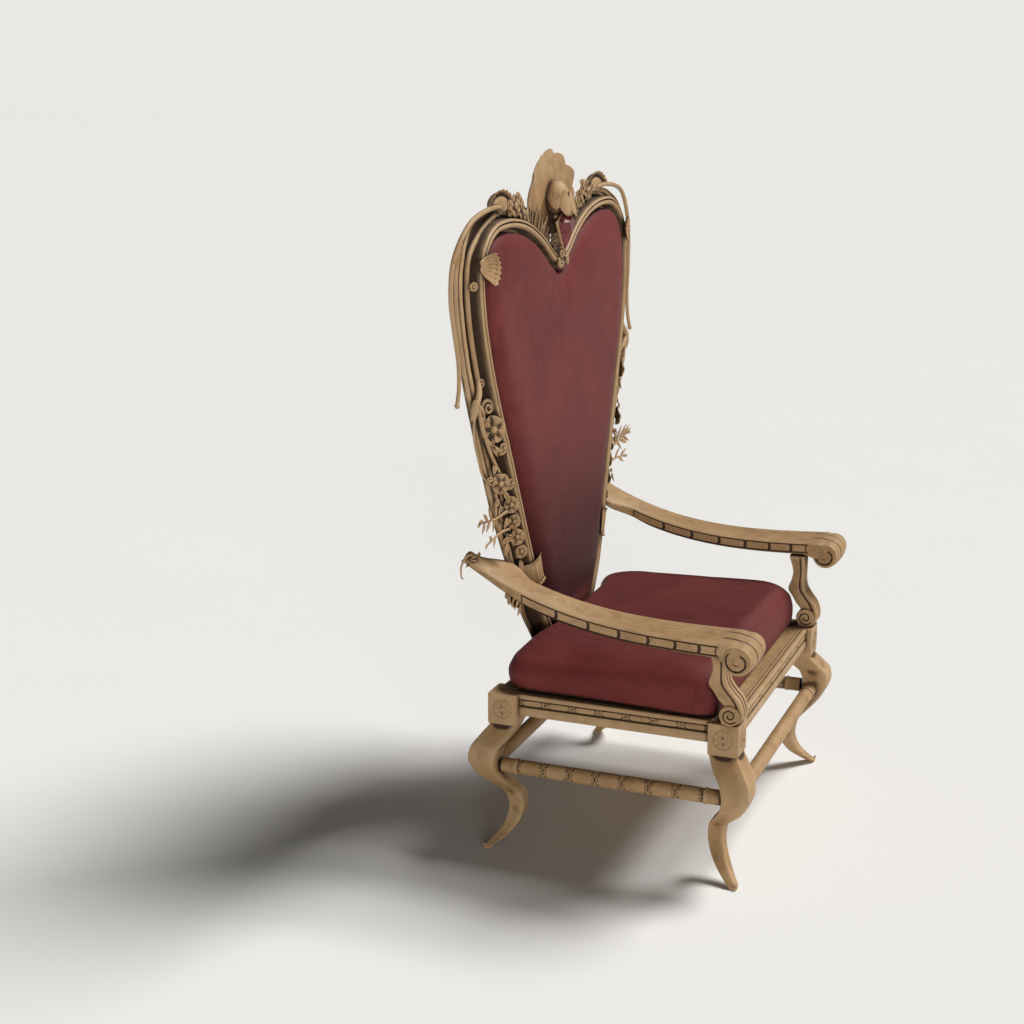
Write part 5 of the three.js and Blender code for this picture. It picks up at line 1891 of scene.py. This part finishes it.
@dataclass
class Crest:
    """Shell leaf, bud and red stone over the notch of the heart."""

    heart: Heart
    rise: float = 200.0
    lift: float = 88.0
    half_width: float = 157.0
    dish: float = 30.0
    behind: float = 16.0
    scallops: int = 15
    thickness: float = 9.0
    bud_radius: float = 41.0
    stone_half: float = 46.0
    stone_height: float = 93.0
    stone_depth: float = 22.0
    rim: float = 6.0

    OUTLINE = (
        (0, 1), (21, 0.975), (43, 0.945), (52, 0.89), (60, 0.84), (66, 0.73), (72, 0.595), (81, 0.44),
        (100, 0.34), (130, 0.35), (158, 0.35),
    )
    PETALS = (
        (0.0, 64.0, 0.86), (36.0, 62.0, 0.84), (-36.0, 62.0, 0.84), (72.0, 46.0, 0.8),
        (-72.0, 46.0, 0.8),
    )

    def __post_init__(self) -> None:
        """Works out the heights of the bud and the stone."""
        self.centre = self.heart.foot + 0.877 * self.heart.rise + self.lift
        self.bud_z = self.centre + 2.1 * self.bud_radius
        self.stone_top = self.bud_z - 0.75 * self.bud_radius
        self.waist = self.stone_top - 0.27 * self.stone_height
        self.stone_foot = self.stone_top - self.stone_height
        self.face = self.heart.plane(self.waist) - 22.0

    def reach(self, angle: float) -> float:
        """Reach of the shell leaf at an angle from upright, in degrees."""
        sizes = [size for size, _ in self.OUTLINE]
        shares = [share for _, share in self.OUTLINE]
        return self.rise * float(np.interp(abs(angle), sizes, shares))

    def shell(self) -> Carving:
        """Dished shell leaf with a scalloped, rippled edge.

        Returns:
            The carving.
        """
        carving = Carving()
        widest = self.reach(60.0) * math.sin(math.radians(60.0))

        def front(across: float, along: float) -> Vector:
            """Point of the leaf's front."""
            angle = lerp(-158.0, 158.0, across)
            lobe = abs(math.cos(math.pi * self.scallops * (across - 0.5))) ** 0.6
            far = lerp(10.0, self.reach(angle) * (0.965 + 0.05 * lobe * along), along)
            x = far * math.sin(math.radians(angle)) * self.half_width / widest
            z = self.centre + far * math.cos(math.radians(angle))
            brim = self.dish * 0.4 * (1.0 - (x / self.half_width) ** 2) - 3.0
            upper = ease(z, self.centre + 40.0, self.centre + 150.0) * along ** 1.4
            wave = math.cos(2.0 * math.pi * self.scallops * (across - 0.5))
            swirl = 4.0 * math.cos(math.radians(angle * 3.6)) * math.sin(math.pi * along)
            fold = 2.6 * wave * along ** 2.5 + swirl
            return Vector((x, self.heart.plane(z) + lerp(self.behind - 5.0, brim, upper) - fold, z))

        carving.sheet(264, 34, front, self.thickness)
        return carving

    def bud(self) -> Carving:
        """Round bud wrapped in two layers of veined petals that hang over the stone.

        Returns:
            The carving.
        """
        carving = Carving()
        around, levels = 144, 64
        middle = self.heart.plane(self.bud_z) - 6.0

        def cover(angle: float, share: float, start: float, tip: float) -> float:
            """Height of a layer of petals at a place on the bud, from 0 to 1."""
            away = abs(((math.degrees(angle) - start) / 60.0) % 1.0 - 0.5) * 2.0
            hem = tip + 0.34 * (1.0 - away) ** 1.5
            vein = 0.16 * groove(away % 0.34 - 0.17, 0.06)
            return ease(share, hem, hem + 0.035) - vein * ease(share, hem, hem + 0.1)

        rings = []
        for level in range(levels + 1):
            share = level / levels
            swell = math.sin(math.pi * lerp(0.05, 0.93, share)) ** 0.72
            z = self.bud_z + self.bud_radius * lerp(-1.02, 0.98, share)
            ring = []
            for k in range(around):
                angle = 2.0 * math.pi * k / around
                layers = cover(angle, share, 30.0, 0.02) + cover(angle, share, 0.0, 0.3) * 0.8
                reach = self.bud_radius * swell * (0.84 + 0.085 * layers)
                ring.append(Vector((reach * math.cos(angle), middle + 0.85 * reach * math.sin(angle), z)))
            rings.append(ring)
        carving.loft(rings)
        for yaw, length, out in self.PETALS:
            turn = math.radians(yaw)
            reach = out * self.bud_radius
            z = self.bud_z + 0.45 * self.bud_radius
            foot = Vector((reach * math.sin(turn), middle - reach * math.cos(turn), z))
            stand = spot(foot, 180.0, 12.0, yaw)
            carving.leaf(stand, length, 36.0, 6.0, LeafShape.SEPAL, bend=4.0, cup=-5.0)
        return carving

    def kite(self, scale: float, y: float, rim: float = 0.0) -> Ring:
        """Kite outline: top, left point, foot and right point.

        Args:
            scale: Size as a share of the stone.
            y: Its plane.
            rim: Width added all round.

        Returns:
            The four points.
        """
        half = (self.stone_half + rim) * scale
        up = (self.stone_top - self.waist + rim) * scale
        down = (self.waist - self.stone_foot + 1.4 * rim) * scale
        return [Vector((0, y, self.waist + up)), Vector((half, y, self.waist)),
                Vector((0, y, self.waist - down)), Vector((-half, y, self.waist))]

    def stone(self) -> Carving:
        """Kite-shaped stone cut with two rows of facets round a small table.

        Returns:
            The carving.
        """
        carving = Carving()

        def split(ring: Ring, push: float) -> Ring:
            """Kite with a point between each two, pushed out."""
            out = []
            for k, point in enumerate(ring):
                follower = ring[(k + 1) % 4]
                half_way = (point + follower) / 2.0
                away = Vector((half_way.x, 0.0, half_way.z - self.waist)) * push
                out += [point, half_way + away]
            return out

        carving.loft([
            split(self.kite(0.97, self.face + 1.7), 0.0),
            split(self.kite(0.99, self.face - 5.0), 0.0),
            split(self.kite(0.74, self.face - 13.5), 0.07),
            split(self.kite(0.42, self.face - self.stone_depth), 0.0),
        ])
        return carving

    def setting(self) -> Carving:
        """Rim of the stone, its stalk and the scrolls beside it.

        Returns:
            The carving.
        """
        carving = Carving()
        back = self.face + 14.0
        profile = (
            (0.4, 5.0), (self.rim - 2.5, 4.0), (self.rim, 0.5), (self.rim - 1.0, -3.0),
            (self.rim - 3.0, -4.5), (1.4, -3.0), (0.4, 1.5),
        )
        rings = []
        corners = [self.kite(1.0, self.face + depth, rim) for rim, depth in profile]
        for corner in range(4):
            for step in range(10):
                share = step / 10.0
                rings.append([ring[corner].lerp(ring[(corner + 1) % 4], share) for ring in corners])
        carving.loft(rings, Ends.ENDLESS)
        carving.loft([self.kite(0.5, back + 1.5), self.kite(0.98, self.face + 2.2)])
        stalk = [
            Vector((0.0, back - 4.0, self.waist - 10.0)), Vector((0.0, back + 22.0, self.waist - 14.0)),
            Vector((0.0, back + 44.0, self.waist - 22.0)),
        ]
        carving.tube(stalk, lambda share: 17.0 + 3.0 * share, 20)
        for side in (-1.0, 1.0):
            for z, x, radius, start in ((-8.0, 13.0, 14.0, 90.0), (-30.0, 30.0, 10.0, 60.0)):
                point = Vector((side * x, self.heart.plane(self.stone_foot) - 18.0, self.stone_foot + z))
                angle = start if side > 0 else 180.0 - start
                carving.curl(spot(point), radius, 1.35, angle, int(side), 4.0)
        return carving

    def build(self, shop: Workshop) -> None:
        """Carves the crest."""
        shop.wood(self.shell(), "carved_crest_leaf", Grain.UPRIGHT, "crest_leaf", crease=70.0)
        shop.wood(self.bud(), "carved_crest_bud", Grain.UPRIGHT, "crest_bud", crease=60.0)
        shop.wood(self.setting(), "carved_setting", Grain.UPRIGHT, "stone_setting")
        shop.hang(self.stone().finish("cut_stone", 8.0), shop.stone, "stone", "crest_stone")


@dataclass
class Cushion:
    """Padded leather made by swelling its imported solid."""

    node: str
    voxel: float
    pressure: float
    cap: float
    shrink: float
    fill: float
    squareness: float = 0.0

    FRAMES = 20

    def start(self) -> bpy.types.Object:
        """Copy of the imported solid, closed, drawn in a little and remeshed.

        Returns:
            The piece that is then swollen.
        """
        shape = bmesh.new()
        shape.from_mesh(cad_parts[self.node].data)
        bmesh.ops.remove_doubles(shape, verts=shape.verts, dist=1e-5)
        shape.normal_update()
        for vertex, normal in [(vertex, vertex.normal.copy()) for vertex in shape.verts]:
            vertex.co -= normal * self.shrink
        data = bpy.data.meshes.new(f"{self.node}_start")
        shape.to_mesh(data)
        shape.free()
        piece = bpy.data.objects.new(f"padded_{self.node}", data)
        bpy.context.scene.collection.objects.link(piece)
        remesh = piece.modifiers.new("skin", "REMESH")
        remesh.mode = "VOXEL"
        remesh.voxel_size = self.voxel
        remesh.use_smooth_shade = True
        self.apply(piece)
        return piece

    def apply(self, piece: bpy.types.Object) -> None:
        """Puts the result of every modifier into the mesh.

        Args:
            piece: The piece.
        """
        graph = bpy.context.evaluated_depsgraph_get()
        made = bpy.data.meshes.new_from_object(piece.evaluated_get(graph))
        piece.modifiers.clear()
        piece.data = made

    def swell(self, piece: bpy.types.Object) -> None:
        """Blows the leather up against its own stiffness.

        Args:
            piece: The piece.
        """
        rest = np.array([vertex.co[:] for vertex in piece.data.vertices])
        cloth = piece.modifiers.new("swell", "CLOTH")
        cloth.settings.quality = 5
        cloth.settings.mass = 0.3
        cloth.settings.tension_stiffness = 40.0
        cloth.settings.compression_stiffness = 40.0
        cloth.settings.shear_stiffness = 20.0
        cloth.settings.bending_stiffness = 6.0
        cloth.settings.use_pressure = True
        cloth.settings.uniform_pressure_force = self.pressure
        cloth.settings.effector_weights.gravity = 0.0
        cloth.collision_settings.use_collision = False
        cloth.collision_settings.use_self_collision = False
        cloth.point_cache.frame_start = 1
        cloth.point_cache.frame_end = self.FRAMES
        scene = bpy.context.scene
        for number in range(1, self.FRAMES + 1):
            scene.frame_set(number)
        graph = bpy.context.evaluated_depsgraph_get()
        blown = piece.evaluated_get(graph).to_mesh()
        moved = np.array([vertex.co[:] for vertex in blown.vertices])
        piece.evaluated_get(graph).to_mesh_clear()
        piece.modifiers.clear()
        scene.frame_set(1)
        step = moved - rest
        length = np.maximum(np.linalg.norm(step, axis=1, keepdims=True), 1e-9)
        step *= np.minimum(1.0, self.cap / length)
        log.info("%s swells by up to %.1f mm", self.node, float(length.max()) / MM)
        piece.data.vertices.foreach_set("co", (rest + step).astype(np.float32).ravel())

    def smooth(self, piece: bpy.types.Object, rounds: int) -> None:
        """Evens out the steps that the remesh leaves.

        Args:
            piece: The piece.
            rounds: How many times.
        """
        shape = bmesh.new()
        shape.from_mesh(piece.data)
        for _ in range(rounds):
            bmesh.ops.smooth_vert(shape, verts=shape.verts, factor=0.5, use_axis_x=True,
                                  use_axis_y=True, use_axis_z=True)
        shape.to_mesh(piece.data)
        shape.free()

    def squared(self, points: np.ndarray, low: np.ndarray, high: np.ndarray) -> np.ndarray:
        """Pushes the front of a cushion out into the corners of its box.

        Args:
            points: Points of the cushion.
            low: Lowest corner of its box.
            high: Highest corner of its box.

        Returns:
            The moved points, which stay in the box.
        """
        half = (high - low) / 2.0
        share = (points - (low + high) / 2.0) / half
        ahead = np.clip(0.4 - share[:, 1:2], 0.0, 1.0)
        push = self.squareness * ahead * (1.0 - share ** 2)
        return (low + high) / 2.0 + half * share * (1.0 + push)

    def build(self, shop: Workshop) -> None:
        """Makes the cushion and hangs it.

        Args:
            shop: Where the pieces are hung.
        """
        low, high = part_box(self.node)
        piece = self.start()
        self.smooth(piece, 2)
        self.swell(piece)
        self.smooth(piece, 2)
        finer = piece.modifiers.new("finer", "SUBSURF")
        finer.levels = 1
        finer.render_levels = 1
        self.apply(piece)
        points = np.array([vertex.co[:] for vertex in piece.data.vertices])
        points = self.squared(np.clip(points, np.array(low), np.array(high)), np.array(low), np.array(high))
        piece.data.vertices.foreach_set("co", points.astype(np.float32).ravel())
        piece.data.shade_smooth()
        piece.data.update()
        shop.hang(piece, shop.leather, "leather", self.node)


@dataclass
class Patina:
    """Painted shade where nearby surfaces block the light, grime in grooves and wear on ridges, painted on
    the points of each piece.
    """

    reach: float = 0.05
    rays: int = 12
    full: float = 0.62
    smoothing: int = 6
    full_depth: float = 0.0012
    occlusion_shade_share: float = 0.8
    cut_share: float = 0.9

    def directions(self) -> list[Vector]:
        """Even set of directions over a half sphere about +Z.

        Returns:
            The directions.
        """
        found = []
        for index in range(self.rays):
            rise = 0.12 + 0.86 * (index + 0.5) / self.rays
            angle = index * math.pi * (3.0 - math.sqrt(5.0))
            level = math.sqrt(1.0 - rise * rise)
            found.append(Vector((level * math.cos(angle), level * math.sin(angle), rise)))
        return found

    def paint(self, pieces: list[bpy.types.Object]) -> None:
        """Looks from every point for nearby surfaces and marks how much they shade it, as painted shade.

        Args:
            pieces: All pieces, which also shade each other.
        """
        corners: list[Vector] = []
        faces: list[tuple[int, ...]] = []
        for piece in pieces:
            start = len(corners)
            corners.extend(vertex.co.copy() for vertex in piece.data.vertices)
            faces.extend(tuple(start + k for k in face.vertices) for face in piece.data.polygons)
        tree = BVHTree.FromPolygons(corners, faces)
        rays = self.directions()
        for piece in pieces:
            data = piece.data
            data.update()
            # Ray-cast occlusion: painted shade from nearby surfaces, darker in hollows and under or between
            # parts.
            occlusion_shade = np.zeros(len(data.vertices), np.float32)
            for vertex in data.vertices:
                normal = Vector(vertex.normal)
                turn = normal.to_track_quat("Z", "X")
                start_point = vertex.co + normal * 0.0007
                blocked = 0.0
                for ray in rays:
                    hit = tree.ray_cast(start_point, turn @ ray, self.reach)
                    if hit[0] is not None:
                        blocked += 1.0 - 0.6 * hit[3] / self.reach
                occlusion_shade[vertex.index] = min(blocked / self.rays / self.full, 1.0)
            hollow = self.hollowness(data)
            cut = np.clip(hollow - 0.12, 0.0, 1.0)
            soil_and_shade = np.zeros(len(data.vertices), np.float32)
            stain_and_shade_layer = data.attributes.get("soil_and_shade")
            if stain_and_shade_layer:
                stain_and_shade_layer.data.foreach_get("value", soil_and_shade)
                data.attributes.remove(stain_and_shade_layer)
            # Painted occlusion shade, grime in cuts and the rubbed-in marks (which hold painted shade in the
            # border's channel), summed into one mark.
            dirt_and_shade = self.occlusion_shade_share * occlusion_shade + self.cut_share * cut + soil_and_shade
            self.write(data, "dirt_and_shade", np.clip(dirt_and_shade, 0.0, 1.0))
            self.write(data, "wear", np.clip(-hollow - 0.1, 0.0, 1.0) * (1.0 - occlusion_shade))
        log.info("painted %d points", len(corners))

    def hollowness(self, data: bpy.types.Mesh) -> np.ndarray:
        """How far the smoothed surface lies over each point: positive in a groove.

        Args:
            data: Mesh of a piece.

        Returns:
            One value for each point.
        """
        points = np.zeros(len(data.vertices) * 3, np.float32)
        data.vertices.foreach_get("co", points)
        points = points.reshape(-1, 3)
        normals = np.zeros(len(data.vertices) * 3, np.float32)
        data.vertices.foreach_get("normal", normals)
        ends = np.zeros(len(data.edges) * 2, np.int32)
        data.edges.foreach_get("vertices", ends)
        first, second = ends.reshape(-1, 2).T
        count = np.bincount(ends, minlength=len(points)).astype(np.float32)[:, None] + 1.0
        smooth = points.astype(np.float64)
        for _ in range(self.smoothing):
            total = smooth.copy()
            for axis in range(3):
                total[:, axis] += np.bincount(first, smooth[second, axis], len(points))
                total[:, axis] += np.bincount(second, smooth[first, axis], len(points))
            smooth = total / count
        return ((smooth - points) * normals.reshape(-1, 3)).sum(1) / self.full_depth

    def write(self, data: bpy.types.Mesh, name: str, values: np.ndarray) -> None:
        """Keeps one value a point under a name."""
        layer = data.attributes.new(name, "FLOAT", "POINT")
        layer.data.foreach_set("value", values.astype(np.float32))


@dataclass
class Studio:
    """Camera, floor and soft lights."""

    camera_place: tuple[float, float, float] = (-4.1406, -1.2250, 1.8933)
    look: tuple[float, float, float] = (0.8997, 0.3566, -0.2517)
    focal_length: float = 63.04
    sensor: float = 36.0
    floor_radius: float = 60.0
    key_from: tuple[float, float, float] = (0.6, -0.62, 1.12)
    key_strength: float = 3.78
    key_spread: float = 25.0
    fill_from: tuple[float, float, float] = (-0.9, -0.5, 0.03)
    fill_strength: float = 2.35
    fill_spread: float = 26.0
    backdrop: Colour = (0.822, 0.815, 0.787)
    ambient: float = 0.06

    def build(self) -> None:
        """Sets up the whole studio."""
        scene = bpy.context.scene
        scene.view_settings.view_transform = "Standard"
        self.camera(scene)
        self.floor()
        self.sun("key_light", self.key_from, self.key_strength, self.key_spread)
        self.sun("fill_light", self.fill_from, self.fill_strength, self.fill_spread)
        self.world(scene)

    def camera(self, scene: bpy.types.Scene) -> None:
        """Camera at the photograph's place.

        Args:
            scene: The scene.
        """
        data = bpy.data.cameras.new("camera")
        data.lens = self.focal_length
        data.sensor_width = self.sensor
        camera = bpy.data.objects.new("camera", data)
        camera.location = self.camera_place
        camera.rotation_mode = "QUATERNION"
        camera.rotation_quaternion = Vector(self.look).to_track_quat("-Z", "Y")
        scene.collection.objects.link(camera)
        scene.camera = camera

    def floor(self) -> None:
        """Wide pale disc under the throne."""
        shape = bmesh.new()
        bmesh.ops.create_circle(shape, cap_ends=True, segments=96, radius=self.floor_radius)
        data = bpy.data.meshes.new("floor")
        shape.to_mesh(data)
        shape.free()
        data.materials.append(FloorFinish().material())
        floor = bpy.data.objects.new("floor", data)
        bpy.context.scene.collection.objects.link(floor)

    def sun(self, name: str, source: tuple[float, float, float], strength: float, spread: float) -> None:
        """Soft distant light from a direction.

        Args:
            name: Name of the light.
            source: Direction from which it shines.
            strength: Strength.
            spread: Angle of the disc, in degrees.
        """
        data = bpy.data.lights.new(name, "SUN")
        data.energy = strength
        data.angle = math.radians(spread)
        light = bpy.data.objects.new(name, data)
        light.rotation_mode = "QUATERNION"
        light.rotation_quaternion = Vector(source).to_track_quat("Z", "Y")
        bpy.context.scene.collection.objects.link(light)

    def world(self, scene: bpy.types.Scene) -> None:
        """Pale backdrop that gives a weaker ambient light.

        Args:
            scene: The scene.
        """
        world = bpy.data.worlds.new("studio")
        scene.world = world
        world.use_nodes = True
        tree = world.node_tree
        tree.nodes.clear()
        output = tree.nodes.new("ShaderNodeOutputWorld")
        mixer = tree.nodes.new("ShaderNodeMixShader")
        path = tree.nodes.new("ShaderNodeLightPath")
        for index, strength in ((1, self.ambient), (2, 1.0)):
            glow = tree.nodes.new("ShaderNodeBackground")
            glow.inputs["Color"].default_value = (*self.backdrop, 1.0)
            glow.inputs["Strength"].default_value = strength
            tree.links.new(glow.outputs[0], mixer.inputs[index])
        tree.links.new(path.outputs["Is Camera Ray"], mixer.inputs[0])
        tree.links.new(mixer.outputs[0], output.inputs[0])


def main() -> None:
    """Builds the throne piece by piece."""
    logging.basicConfig(level=logging.INFO, format="%(message)s", stream=sys.stdout)
    Studio().build()
    shop = Workshop()
    heart = Heart()
    SeatFrame().build(shop)
    Arms().build(shop)
    HeartBorder(heart).build(shop)
    Vine(heart).build(shop)
    Crest(heart).build(shop)
    Cushion("back_pad", 0.0088, 4.0, 0.008, 0.003, 0.6).build(shop)
    Cushion("seat_cushion", 0.0082, 2.0, 0.005, 0.002, 0.8, 0.24).build(shop)
    Patina().paint(shop.carved)


if __name__ == "__main__":
    main()
